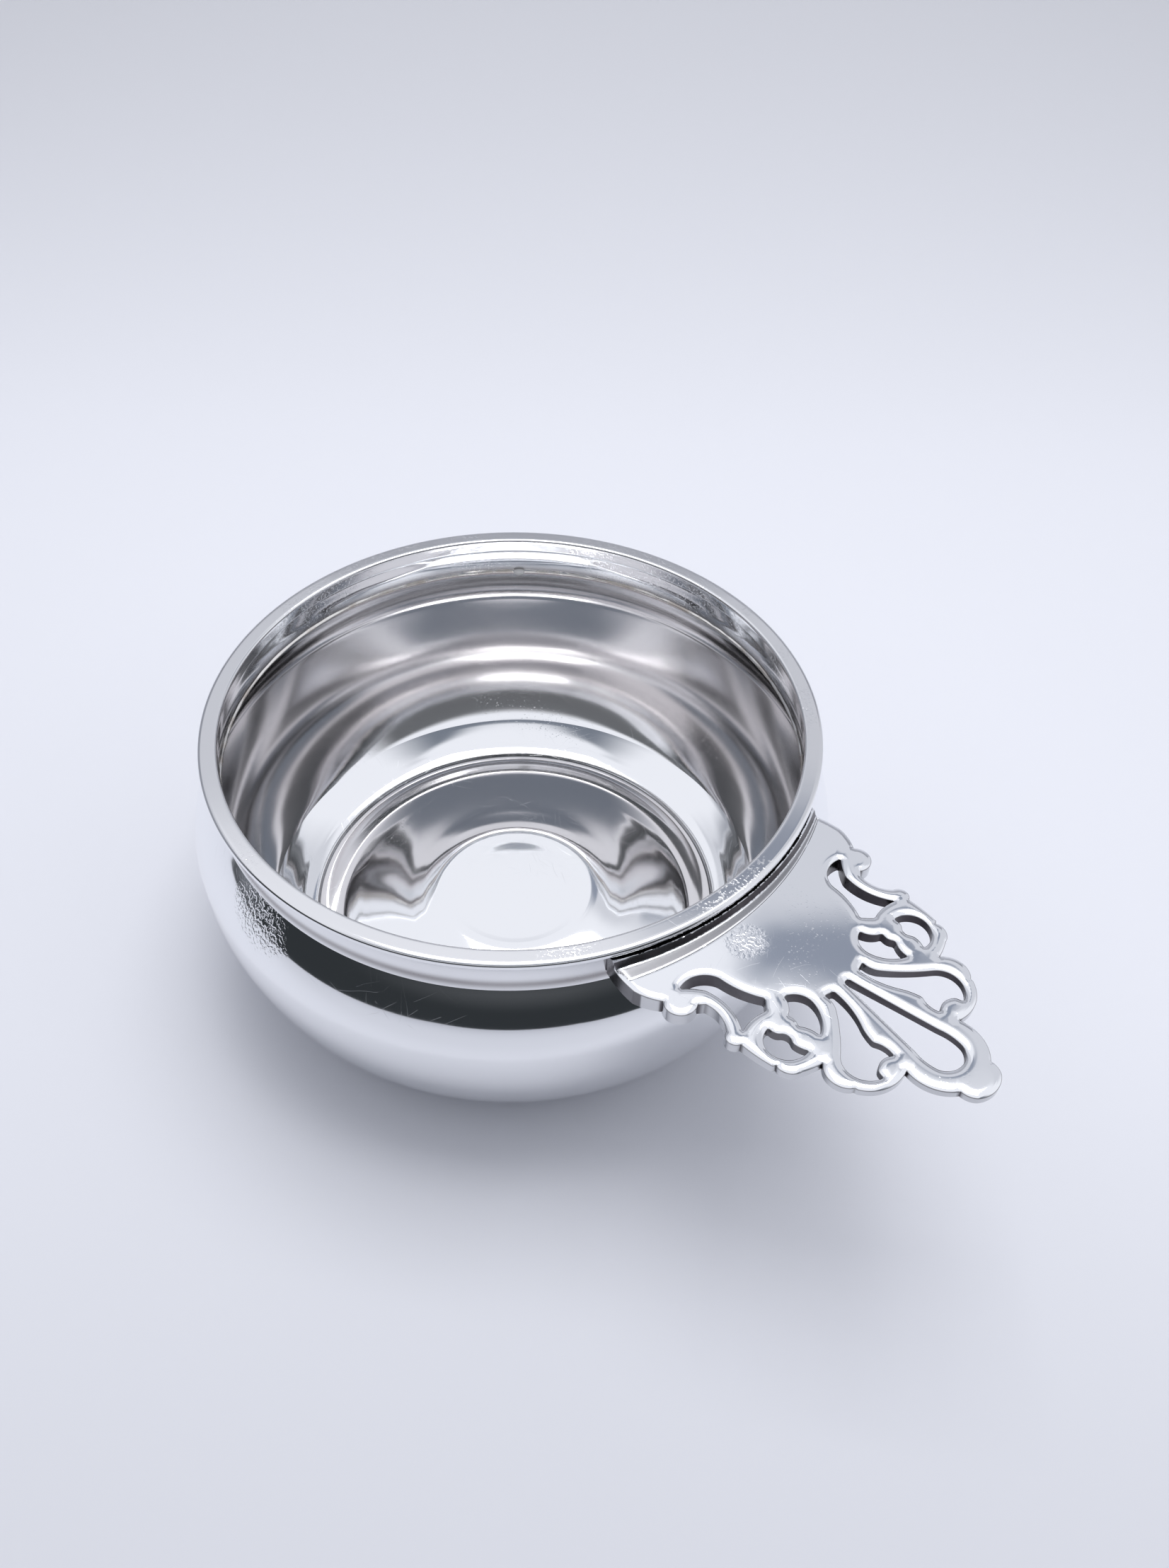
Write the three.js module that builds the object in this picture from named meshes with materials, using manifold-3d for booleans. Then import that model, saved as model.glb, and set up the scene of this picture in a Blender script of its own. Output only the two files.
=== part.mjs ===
import * as THREE from 'three';
import { mergeVertices } from 'three/addons/utils/BufferGeometryUtils.js';
import Module from 'manifold-3d';

// Silver porringer: a raised, bellied bowl, a moulded rim soldered round its mouth,
// and one cast and pierced handle soldered under the rim.
// Millimetres, Z up. The bowl stands on Z = 0 and the handle points along +X.
// Heights near the mouth are given as depths below the rim's top, and radii there as steps
// from the edge of the lip, so that rim, body and handle keep together when one is changed.

// Moulded rim: a separate band with a hollow neck and a flat lip
const rimHeight = 55;
const lipRadius = 57;
const lipWidth = 3.5;
const lipEdgeDepth = 1.3;
const lipEdgeRound = 0.9;
const lipUndercut = 0.9;
const lipUndercutDepth = 1.55;
const lipBoreDepth = 2.4;
const lipBoreRound = 0.6;
const lipBoreStep = 1;
const neckInset = 1.9;
const neckWaistDepth = 5.6;
const neckGauge = 1.0;
const neckFlare = 0.3;
const neckFlarePull = 1.3;
const neckRisePull = 2.2;
const coveArrivalOut = 0.8;
const coveArrivalDown = 0.5;

// Bowl body, raised from one sheet. The belly swells out past the lip.
const sheetGauge = 1.0;
const bellySwell = 3.9;
const bellyDepth = 20.9;
const lowerBellyPull = 22.9;
const heelPull = 4.1;
const restRadius = 42.4;
const restWidth = 3.4;
const domeRise = 2.6;
const domePull = 24;
const domeFootPull = 6;
const upperBellyPull = 4.5;
const shoulderPullOut = 1.7;
const shoulderPullDown = 3.3;
const seamDepth = 8.7;

// Solder bead inside, over the joint of rim and body
const beadHeight = 1.2;
const beadSwell = 0.45;

// Handle, cast in one piece: a pierced plate and a collar that stands against the neck.
// The plate's top face rises a little towards the tip, and the plate is thickest at its root.
const handleLength = 49.5;
const plateTuck = 9;
const plateRootDepth = 2.95;
const plateRise = 0.054;
const plateGaugeAtRoot = 4;
const plateGaugeAtTip = 1.9;
const plateTaper = 3;
const plateEdge = 0.5;

// Collar, in heights above the plate's top face. Its low band is filed wider on one side.
const collarRise = 1.5;
const collarProud = 0.3;
const collarEdge = 0.18;
const collarHollow = 0.5;
const collarFlare = 0.6;
const collarFootRise = 0.18;
const collarBandReach = 2.2;
const collarBandEdge = 0.03;
const collarBandShift = 2.6;
const collarSink = 1.6;
const collarHalfWidth = 24.5;

// Solder joint between the handle's root and the rim
const rootClearance = 0.3;
const filletLeg = 1.2;
const filletReach = 0.9;
const filletGap = 0.05;
const filletHalfWidth = 22;

// Smoothness
const turnSegments = 80;
const arcStep = 1.4;
const taperSteps = 6;
const domeSteps = 6;
const lowerBellySteps = 10;
const upperBellySteps = 5;
const neckFootSteps = 4;
const coveSteps = 5;
const cornerSteps = 3;
const smallCornerSteps = 2;

// Sizes that follow from those above
const lipBoreRadius = lipRadius - lipWidth;
const neckRadius = lipRadius - neckInset;
const neckWaistHeight = rimHeight - neckWaistDepth;
const seamRadius = neckRadius + neckFlare;
const seamHeight = rimHeight - seamDepth;
const bellyRadius = lipRadius + bellySwell;
const bellyHeight = rimHeight - bellyDepth;
const restInnerRadius = restRadius - restWidth;
const handleReach = lipRadius + handleLength;
const plateStart = lipRadius - plateTuck;
const collarRadius = lipRadius + collarProud;
const collarFootRadius = collarRadius + collarFlare;
const collarBandRadius = collarRadius + collarBandReach;

// The handle's plan. The first number is the distance beyond the edge of the lip,
// the second is the distance from the handle's middle line, and the third is how far
// the stretch that ends there bows to the left of its way. The rounded tip stands out
// past the side's last point, and a longer handle stretches the whole plan.
const tipRound = 1;
const handleSide = [
  [-7, 24, 0],
  [0.2, 25.3, 0.3],
  [4.7, 23.4, 0.3],
  [8.9, 20, 2.4],
  [9.7, 19.1, 0],
  [15.3, 20.6, -0.8],
  [18.4, 20.7, 1.15],
  [24.8, 19.8, 0.15],
  [27.9, 17.7, 0.7],
  [29, 14.5, 0.1],
  [35.2, 14.5, 1.35],
  [38.4, 6.6, 1.45],
  [46, 3.8, 1.3],
  [48.5, 2.9, 0.3],
];
const comma = [
  [4.8, 19.8],
  [7.8, 13.9, -1.5],
  [15.3, 11.7, 0.5],
  [17, 13.4, 0],
  [17, 18.8, 0.45],
  [7.9, 17.2, 1.05],
  [4.8, 19.8, 0.15],
];
const innerMoon = [
  [17.1, 9.4],
  [20.6, 6.9, -0.8],
  [25.5, 10.9, -0.85],
  [22.2, 12, 0.35],
  [19.9, 11.7, 0.4],
  [17.1, 9.4, 0.5],
];
const outerMoon = [
  [19.3, 15.5],
  [22.6, 18.8, 0.95],
  [26.2, 14.2, 1.35],
  [23.5, 14.9, -0.25],
  [21.1, 15.2, 0.65],
  [19.3, 15.5, -0.2],
];
const tailedBean = [
  [21.3, 4.7],
  [21.8, 3, 0],
  [29.1, 5.2, -0.5],
  [31.9, 6.1, 0.1],
  [35.5, 5.8, -0.45],
  [35.6, 9.7, 0.85],
  [36.8, 10, 0],
  [32.7, 13, -0.9],
  [30, 11.5, -0.35],
  [24.3, 5.5, 0.25],
  [21.3, 4.7, 0.35],
];
const teardrop = [
  [21.9, -0.5],
  [21.9, 0.5, 0.15],
  [37.2, 2.9, 0],
  [41.6, 3, 0.3],
  [41.6, -3, 1.9],
  [37.2, -2.9, 0.3],
  [21.9, -0.5, 0],
];

const planLength = handleSide[handleSide.length - 1][0] + tipRound;
const planStretch = handleLength / planLength;

const silver = { color: 0xdfe0e4, roughness: 0.12, metalness: 1 };
const solder = { color: 0xc9c8c6, roughness: 0.35, metalness: 1 };

const wasm = await Module();
wasm.setup();

// The handle reaches further than the belly, so the bowl's axis isn't at the middle of the length.
const bowlAxisX = (bellyRadius - handleReach) / 2;

// Profiles of turned pieces

function point(radius, height) {
  return new THREE.Vector2(radius, height);
}

// Smooth stretch that leaves one point towards a second and arrives from a third at the last.
function bend(from, leave, arrive, to, steps) {
  return new THREE.CubicBezierCurve(from, leave, arrive, to).getPoints(steps);
}

// Rounded corner from one point to another.
function round(from, corner, to, steps) {
  return new THREE.QuadraticBezierCurve(from, corner, to).getPoints(steps);
}

// Joins stretches end to end and drops the points that two stretches share.
function join(...stretches) {
  const all = stretches.flat();
  return all.filter((p, i) => i === 0 || p.distanceTo(all[i - 1]) > 1e-6);
}

// The same line moved sideways: to the left of its way for a positive distance.
function offset(line, distance) {
  return line.map((p, i) => {
    const before = line[Math.max(i - 1, 0)];
    const after = line[Math.min(i + 1, line.length - 1)];
    const along = after.clone().sub(before).normalize();
    return point(p.x - along.y * distance, p.y + along.x * distance);
  });
}

// Turns a profile about the bowl's axis. A section is drawn up its outside and down its inside.
function turned(profile) {
  return new THREE.LatheGeometry(profile, turnSegments).rotateX(Math.PI / 2);
}

// Solids for cutting and joining

function solidOf(geometry) {
  const bare = geometry.clone();
  bare.deleteAttribute('normal');
  bare.deleteAttribute('uv');
  const merged = mergeVertices(bare, 1e-4);
  const mesh = new wasm.Mesh({
    numProp: 3,
    vertProperties: merged.attributes.position.array,
    triVerts: new Uint32Array(merged.index.array),
  });
  return new wasm.Manifold(mesh);
}

function geometryOf(solid) {
  const mesh = solid.getMesh();
  const geometry = new THREE.BufferGeometry();
  geometry.setAttribute('position', new THREE.BufferAttribute(mesh.vertProperties, 3));
  geometry.setIndex(new THREE.BufferAttribute(mesh.triVerts, 1));
  return geometry;
}

// Bowl body

const seamOuter = point(seamRadius, seamHeight);
const seamInner = point(seamRadius - sheetGauge, seamHeight);
const neckInner = point(neckRadius - neckGauge, neckWaistHeight);
const halfBead = beadHeight / 2;
const beadTop = seamInner.clone().lerp(neckInner, halfBead / (neckWaistHeight - seamHeight));
const shoulderSlope = shoulderPullOut / shoulderPullDown;
const beadFoot = point(seamInner.x + halfBead * shoulderSlope, seamHeight - halfBead);

// Outside of the body, from the middle of its domed bottom over the rest ring to the seam.
function bodyOutside() {
  const dome = bend(
    point(0, domeRise),
    point(domePull, domeRise),
    point(restInnerRadius - domeFootPull, 0),
    point(restInnerRadius, 0),
    domeSteps,
  );
  const lower = bend(
    point(restRadius, 0),
    point(restRadius + heelPull, 0),
    point(bellyRadius, bellyHeight - lowerBellyPull),
    point(bellyRadius, bellyHeight),
    lowerBellySteps,
  );
  const upper = bend(
    point(bellyRadius, bellyHeight),
    point(bellyRadius, bellyHeight + upperBellyPull),
    point(seamRadius + shoulderPullOut, seamHeight - shoulderPullDown),
    seamOuter,
    upperBellySteps,
  );
  return join(dome, lower, upper);
}

function bowlBody() {
  const outside = bodyOutside();
  const inside = offset(outside, sheetGauge);
  inside.pop();
  inside[0] = point(0, domeRise + sheetGauge);
  return turned([...outside, seamInner, beadFoot, ...inside.reverse()]);
}

// Moulded rim

// Outside of the rim, from the seam up the hollow neck, under the lip and round its edge.
function rimOutside() {
  const waist = point(neckRadius, neckWaistHeight);
  const underLip = point(lipRadius - lipUndercut, rimHeight - lipUndercutDepth);
  const flare = point(neckRadius, seamHeight + neckFlarePull);
  const foot = round(seamOuter, flare, waist, neckFootSteps);
  const cove = bend(
    waist,
    point(neckRadius, neckWaistHeight + neckRisePull),
    point(underLip.x - coveArrivalOut, underLip.y - coveArrivalDown),
    underLip,
    coveSteps,
  );
  const edge = round(
    underLip,
    point(lipRadius, rimHeight - lipEdgeDepth),
    point(lipRadius, rimHeight - lipEdgeRound),
    smallCornerSteps,
  );
  const shoulder = round(
    point(lipRadius, rimHeight - lipEdgeRound),
    point(lipRadius, rimHeight),
    point(lipRadius - lipEdgeRound, rimHeight),
    cornerSteps,
  );
  return join(foot, cove, edge, shoulder);
}

function rimBand() {
  const mouth = round(
    point(lipBoreRadius + lipBoreRound, rimHeight),
    point(lipBoreRadius, rimHeight),
    point(lipBoreRadius, rimHeight - lipBoreRound),
    smallCornerSteps,
  );
  const underLip = round(
    point(lipBoreRadius, rimHeight - lipBoreDepth),
    point(neckInner.x, rimHeight - lipBoreDepth),
    point(neckInner.x, rimHeight - lipBoreDepth - lipBoreStep),
    smallCornerSteps,
  );
  return turned([...rimOutside(), ...mouth, ...underLip, neckInner, beadTop, seamInner, seamOuter]);
}

// Seam bead

function seamBead() {
  const swell = point(seamInner.x - 2 * beadSwell, seamHeight);
  const face = round(beadTop, swell, beadFoot, cornerSteps);
  return turned([beadFoot, seamInner, ...face]);
}

// Handle

// Points along an arc that bows to the left of its way, without the starting point.
function arc(from, to, bow) {
  if (!bow) return [to];
  const chord = to.clone().sub(from);
  const half = chord.length() / 2;
  const radius = (half * half + bow * bow) / (2 * bow);
  const left = point(-chord.y, chord.x).normalize();
  const centre = from.clone().lerp(to, 0.5).addScaledVector(left, bow - radius);
  const sweep = 4 * Math.atan(bow / half);
  const steps = Math.max(2, Math.round(Math.abs(radius * sweep) / arcStep));
  const points = [];
  for (let i = 1; i <= steps; i += 1) {
    const turn = (-sweep * i) / steps;
    points.push(i === steps ? to : from.clone().rotateAround(centre, turn));
  }
  return points;
}

function outline(stretches) {
  const points = [];
  stretches.forEach(([beyondLip, out, bow]) => {
    const to = point(lipRadius + beyondLip * planStretch, out);
    const from = points.length ? points[points.length - 1] : to;
    points.push(...arc(from, to, bow));
  });
  return points;
}

function mirrored(points) {
  return points.map((p) => point(p.x, -p.y)).reverse();
}

// The outer edge of the whole plate: out to the tip and back, then turned to run anticlockwise.
function plateEdgeLine() {
  const side = outline(handleSide);
  const last = side[side.length - 1];
  const tip = arc(last, point(last.x, -last.y), handleReach - last.x);
  return [...side, ...tip, ...mirrored(side).slice(1)].reverse();
}

function plateOpenings() {
  const oneSide = [comma, innerMoon, outerMoon, tailedBean].map((hole) => outline(hole).slice(1));
  const otherSide = oneSide.map(mirrored);
  return [...oneSide, ...otherSide, outline(teardrop).slice(1)];
}

// Height of the plate's top face, which rises towards the tip.
function plateTop(along) {
  return rimHeight - plateRootDepth + (along - lipRadius) * plateRise;
}

function plateGauge(along) {
  const share = (handleReach - along) / handleLength;
  return THREE.MathUtils.lerp(plateGaugeAtTip, plateGaugeAtRoot, Math.min(share, 1) ** plateTaper);
}

// Side view of the plate from above its top face down to its hollow, tapering underside.
function plateSideSlab() {
  const reach = handleReach - plateStart;
  const underside = [];
  for (let i = 0; i <= taperSteps; i += 1) {
    const along = plateStart + (reach * i) / taperSteps;
    underside.push(point(along, -plateGauge(along)));
  }
  const above = plateGaugeAtTip;
  const side = new THREE.Shape([...underside, point(handleReach, above), point(plateStart, above)]);
  const width = 2 * collarRadius;
  const slab = new THREE.ExtrudeGeometry(side, { depth: width, steps: 1, bevelEnabled: false });
  return slab.rotateX(Math.PI / 2).translate(0, width / 2, 0);
}

// The plan, pierced and with its top edges softened, deeper than the plate is thick.
function piercedPlan() {
  const shape = new THREE.Shape(plateEdgeLine());
  shape.holes = plateOpenings().map((points) => new THREE.Path(points));
  const depth = 2 * plateGaugeAtRoot;
  const plan = new THREE.ExtrudeGeometry(shape, {
    depth,
    steps: 1,
    bevelThickness: plateEdge,
    bevelSize: plateEdge,
    bevelOffset: -plateEdge,
    bevelSegments: 1,
  });
  return plan.translate(0, 0, -depth - plateEdge);
}

// Lays a piece whose heights are counted from the plate's top face on the sloping plate.
function laidOnPlate(geometry) {
  const places = geometry.attributes.position;
  for (let i = 0; i < places.count; i += 1) {
    places.setZ(i, places.getZ(i) + plateTop(places.getX(i)));
  }
  return geometry;
}

// Wall of the collar: a hollow curve from its foot up to the lip.
function collarWall() {
  const inner = neckRadius - neckGauge / 2;
  const wall = round(
    point(collarFootRadius, collarFootRise),
    point(collarRadius, collarHollow),
    point(collarRadius, collarRise - collarEdge),
    cornerSteps,
  );
  return turned([
    point(inner, -collarSink),
    point(collarFootRadius, -collarSink),
    ...wall,
    point(collarRadius - collarEdge, collarRise),
    point(inner, collarRise),
    point(inner, -collarSink),
  ]);
}

// Low band at the collar's foot, which slopes down to the plate.
function collarBand() {
  const inner = neckRadius - collarBandShift - neckGauge;
  const band = turned([
    point(inner, -collarSink),
    point(collarBandRadius, -collarSink),
    point(collarBandRadius, collarBandEdge),
    point(collarFootRadius - collarBandShift, collarFootRise),
    point(inner, collarFootRise),
    point(inner, -collarSink),
  ]);
  return band.translate(0, -collarBandShift, 0);
}

// Block on the handle's side of the bowl, which cuts a piece of a turned ring to its width.
function rootBlock(halfWidth) {
  const reach = 2 * lipRadius;
  const block = new THREE.BoxGeometry(reach, 2 * halfWidth, 2 * rimHeight);
  return solidOf(block.translate(reach / 2, 0, rimHeight));
}

// The rim's outside with the clearance for solder added, filled to the axis.
function rimWithClearance() {
  const line = offset(rimOutside(), -rootClearance);
  const first = line[0];
  const last = line[line.length - 1];
  return solidOf(turned([point(0, first.y), ...line, point(0, last.y)]));
}

function handlePiece() {
  const wall = solidOf(laidOnPlate(collarWall()));
  const band = solidOf(laidOnPlate(collarBand()));
  const collar = wall.add(band).intersect(rootBlock(collarHalfWidth));
  const plan = solidOf(laidOnPlate(piercedPlan()));
  const plate = plan.intersect(solidOf(laidOnPlate(plateSideSlab())));
  const blank = plate.add(collar);
  return geometryOf(blank.subtract(rimWithClearance()));
}

// Solder that fills the clearance behind the handle's root, with a fillet below the plate.
function rootSolder() {
  const line = rimOutside();
  const clear = offset(line, -rootClearance);
  const rootReach = Math.sqrt(neckRadius ** 2 - filletHalfWidth ** 2);
  const filletTop = plateTop(rootReach) - plateGaugeAtRoot - filletGap;
  const foot = line.findIndex((p) => p.y > filletTop - filletLeg);
  const plateLevel = clear.findIndex((p) => p.y > filletTop);
  const rootTop = plateTop(rootReach) + collarRise - rootClearance;
  const top = line.findIndex((p) => p.y > rootTop);
  const ring = turned([
    line[foot],
    point(neckRadius + filletReach, filletTop),
    point(neckRadius + rootClearance, filletTop),
    ...clear.slice(plateLevel, top),
    ...line.slice(foot, top).reverse(),
  ]);
  return geometryOf(solidOf(ring).intersect(rootBlock(filletHalfWidth)));
}

const bowl = new THREE.Group();
bowl.position.x = bowlAxisX;

function addPiece(name, geometry, finish) {
  const mesh = new THREE.Mesh(geometry, new THREE.MeshStandardMaterial(finish));
  mesh.name = name;
  bowl.add(mesh);
}

addPiece('bowl_body', bowlBody(), silver);
addPiece('moulded_rim', rimBand(), silver);
addPiece('seam_solder', seamBead(), solder);
addPiece('handle', handlePiece(), silver);
addPiece('handle_solder', rootSolder(), solder);

export default bowl;
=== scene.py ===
"""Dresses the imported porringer: a raised silver bowl, its soldered rim and its cast, pierced handle."""

import logging
import math
from dataclasses import dataclass
from enum import Enum

import bmesh
import bpy
import numpy as np
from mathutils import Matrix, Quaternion, Vector
from mathutils.geometry import delaunay_2d_cdt


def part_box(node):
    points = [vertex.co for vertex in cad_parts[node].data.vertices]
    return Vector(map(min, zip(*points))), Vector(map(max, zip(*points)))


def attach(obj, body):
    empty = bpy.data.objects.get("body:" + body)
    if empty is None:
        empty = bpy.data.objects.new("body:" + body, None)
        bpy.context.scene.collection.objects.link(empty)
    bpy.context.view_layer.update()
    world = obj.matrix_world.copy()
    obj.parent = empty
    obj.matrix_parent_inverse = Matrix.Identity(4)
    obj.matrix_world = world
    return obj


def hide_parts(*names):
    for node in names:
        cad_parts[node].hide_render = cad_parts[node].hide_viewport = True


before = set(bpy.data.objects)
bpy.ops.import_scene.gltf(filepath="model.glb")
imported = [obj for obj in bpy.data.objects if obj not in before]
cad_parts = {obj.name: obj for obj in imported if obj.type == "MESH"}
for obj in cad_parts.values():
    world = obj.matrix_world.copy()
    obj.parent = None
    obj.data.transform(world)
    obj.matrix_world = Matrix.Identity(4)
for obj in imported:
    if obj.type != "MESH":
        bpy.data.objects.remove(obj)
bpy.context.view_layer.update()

MM = 0.001
BODY = "root"
# The per-point darkness that the silver finishes mix in: oxide, painted shade and painted reflections.
TARNISH_AND_SHADE = "tarnish_and_shade"

log = logging.getLogger("porringer")

Point = tuple[float, float]
Triple = tuple[float, float, float]
Line = list[Point]
Stretch = Triple
Array = np.ndarray
Socket = bpy.types.NodeSocket
Material = bpy.types.Material
Mesh = bpy.types.Mesh
NodeTree = bpy.types.NodeTree


class Slot(Enum):
    """The record's material slots."""

    BOWL = "polished_silver"
    RIM = "rim_silver"
    HANDLE = "cast_silver"
    SOLDER = "silver_solder"


# Lines and curves, in millimetres


def bend(*corners: Point, steps: int) -> Line:
    """Draws a smooth stretch that heads for the corners between its ends.

    Args:
        corners: The first point, one or two that pull the stretch, and the last point.
        steps: How many steps it is cut into.

    Returns:
        The points from the first corner to the last.
    """
    last = len(corners) - 1
    points = []
    for t in np.linspace(0, 1, steps + 1):
        weights = [math.comb(last, k) * (1 - t) ** (last - k) * t**k for k in range(last + 1)]
        points.append(tuple(sum(w * corner[i] for w, corner in zip(weights, corners)) for i in (0, 1)))
    return points


def join(*stretches: Line) -> Line:
    """Joins stretches end to end and drops the points that two of them share.

    Args:
        stretches: The stretches, in order.

    Returns:
        One line.
    """
    joined: Line = []
    for point in (p for stretch in stretches for p in stretch):
        if not joined or math.dist(point, joined[-1]) > 1e-6:
            joined.append(point)
    return joined


def offset(line: Line, distance: float) -> Line:
    """Moves a line sideways.

    Args:
        line: The line.
        distance: How far it moves, to the left of its way where positive.

    Returns:
        The moved line.
    """
    points = np.array(line)
    along = np.gradient(points, axis=0)
    along /= np.linalg.norm(along, axis=1)[:, None]
    left = np.stack([-along[:, 1], along[:, 0]], axis=1)
    return [tuple(p) for p in points + left * distance]


def through(points: Line, steps: int) -> Line:
    """Draws a smooth line through the points.

    Args:
        points: The points, in order.
        steps: How many steps each stretch is cut into.

    Returns:
        The smooth line from the first point to the last.
    """
    placed = np.array([points[0], *points, points[-1]], float)
    line = []
    for k in range(1, len(placed) - 2):
        before, start, end, after = placed[k - 1 : k + 3]
        long = np.linalg.norm(end - start)
        leave = (end - before) / np.linalg.norm(end - before) * long
        arrive = (after - start) / np.linalg.norm(after - start) * long
        corners = (start, start + leave / 3, end - arrive / 3, end)
        line.append(bend(*map(tuple, corners), steps=steps))
    return join(*line)


def spaced(line: Line, spacing: float) -> Line:
    """Cuts the long steps of a line.

    Args:
        line: The line.
        spacing: The longest step that stays.

    Returns:
        The line with its added points.
    """
    points = [line[0]]
    for start, end in zip(line, line[1:]):
        steps = max(1, math.ceil(math.dist(start, end) / spacing))
        for k in range(1, steps + 1):
            t = k / steps
            points.append((start[0] + (end[0] - start[0]) * t, start[1] + (end[1] - start[1]) * t))
    return points


def hill(place: float | Array, middle: float, width: float) -> float | Array:
    """Gives the height of a soft hill, 1 in its middle."""
    return np.exp(-(((place - middle) / width) ** 2))


# Node trees


class Wiring:
    """Adds nodes to a tree and joins their sockets."""

    def __init__(self, tree: NodeTree) -> None:
        """Keeps the tree that is wired."""
        self.tree = tree

    def add(self, kind: str, inputs: dict | None = None, **settings: object) -> bpy.types.Node:
        """Adds one node.

        Args:
            kind: The node's type name.
            inputs: A value or an output socket for each input, by name or number.
            settings: Properties of the node.

        Returns:
            The new node.
        """
        node = self.tree.nodes.new(kind)
        for name, value in settings.items():
            setattr(node, name, value)
        for name, value in (inputs or {}).items():
            self.feed(node.inputs[name], value)
        return node

    def feed(self, socket: Socket, value: object) -> None:
        """Links an output to a socket, or sets the socket's own value.

        Args:
            socket: The input that is fed.
            value: An output socket, or a plain value.
        """
        if isinstance(value, Socket):
            self.tree.links.new(value, socket)
        else:
            socket.default_value = value

    def math(self, operation: str, *values: object) -> Socket:
        """Adds one Math node and returns its result."""
        return self.add("ShaderNodeMath", dict(enumerate(values)), operation=operation).outputs[0]

    def step(self, kind: str, geometry: Socket, inputs: dict | None = None, **settings: object) -> Socket:
        """Adds one Geometry Nodes step to a geometry and returns the result."""
        return self.add("GeometryNode" + kind, {"Geometry": geometry, **(inputs or {})}, **settings).outputs[0]

    def vector(self, operation: str, *values: object, **named: object) -> Socket:
        """Adds one Vector Math node and returns its result."""
        node = self.add("ShaderNodeVectorMath", {**dict(enumerate(values)), **named}, operation=operation)
        return node.outputs["Value" if operation in ("DOT_PRODUCT", "DISTANCE") else "Vector"]

    def noise(self, place: Socket, scale: float, detail: float, output: int | str = 0) -> Socket:
        """Adds one Noise Texture node and returns one of its results."""
        inputs = {"Vector": place, "Scale": scale, "Detail": detail}
        return self.add("ShaderNodeTexNoise", inputs).outputs[output]

    def mix(self, share: Socket, first: Triple | Socket, second: Triple | Socket) -> Socket:
        """Mixes two colours and returns the result."""
        low, high = ((*c, 1.0) if isinstance(c, tuple) else c for c in (first, second))
        return self.add("ShaderNodeMix", {"Factor": share, 6: low, 7: high}, data_type="RGBA").outputs[2]

    def ramp(self, value: Socket, low: float, high: float, to_low: float = 0.0, to_high: float = 1.0) -> Socket:
        """Maps a value from one range to another with soft ends.

        Args:
            value: The value.
            low: Where the ramp starts.
            high: Where it ends.
            to_low: The result at its start.
            to_high: The result at its end.

        Returns:
            The mapped value.
        """
        node = self.add(
            "ShaderNodeMapRange",
            {"Value": value, "From Min": low, "From Max": high, "To Min": to_low, "To Max": to_high},
            interpolation_type="SMOOTHSTEP",
        )
        return node.outputs["Result"]


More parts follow.
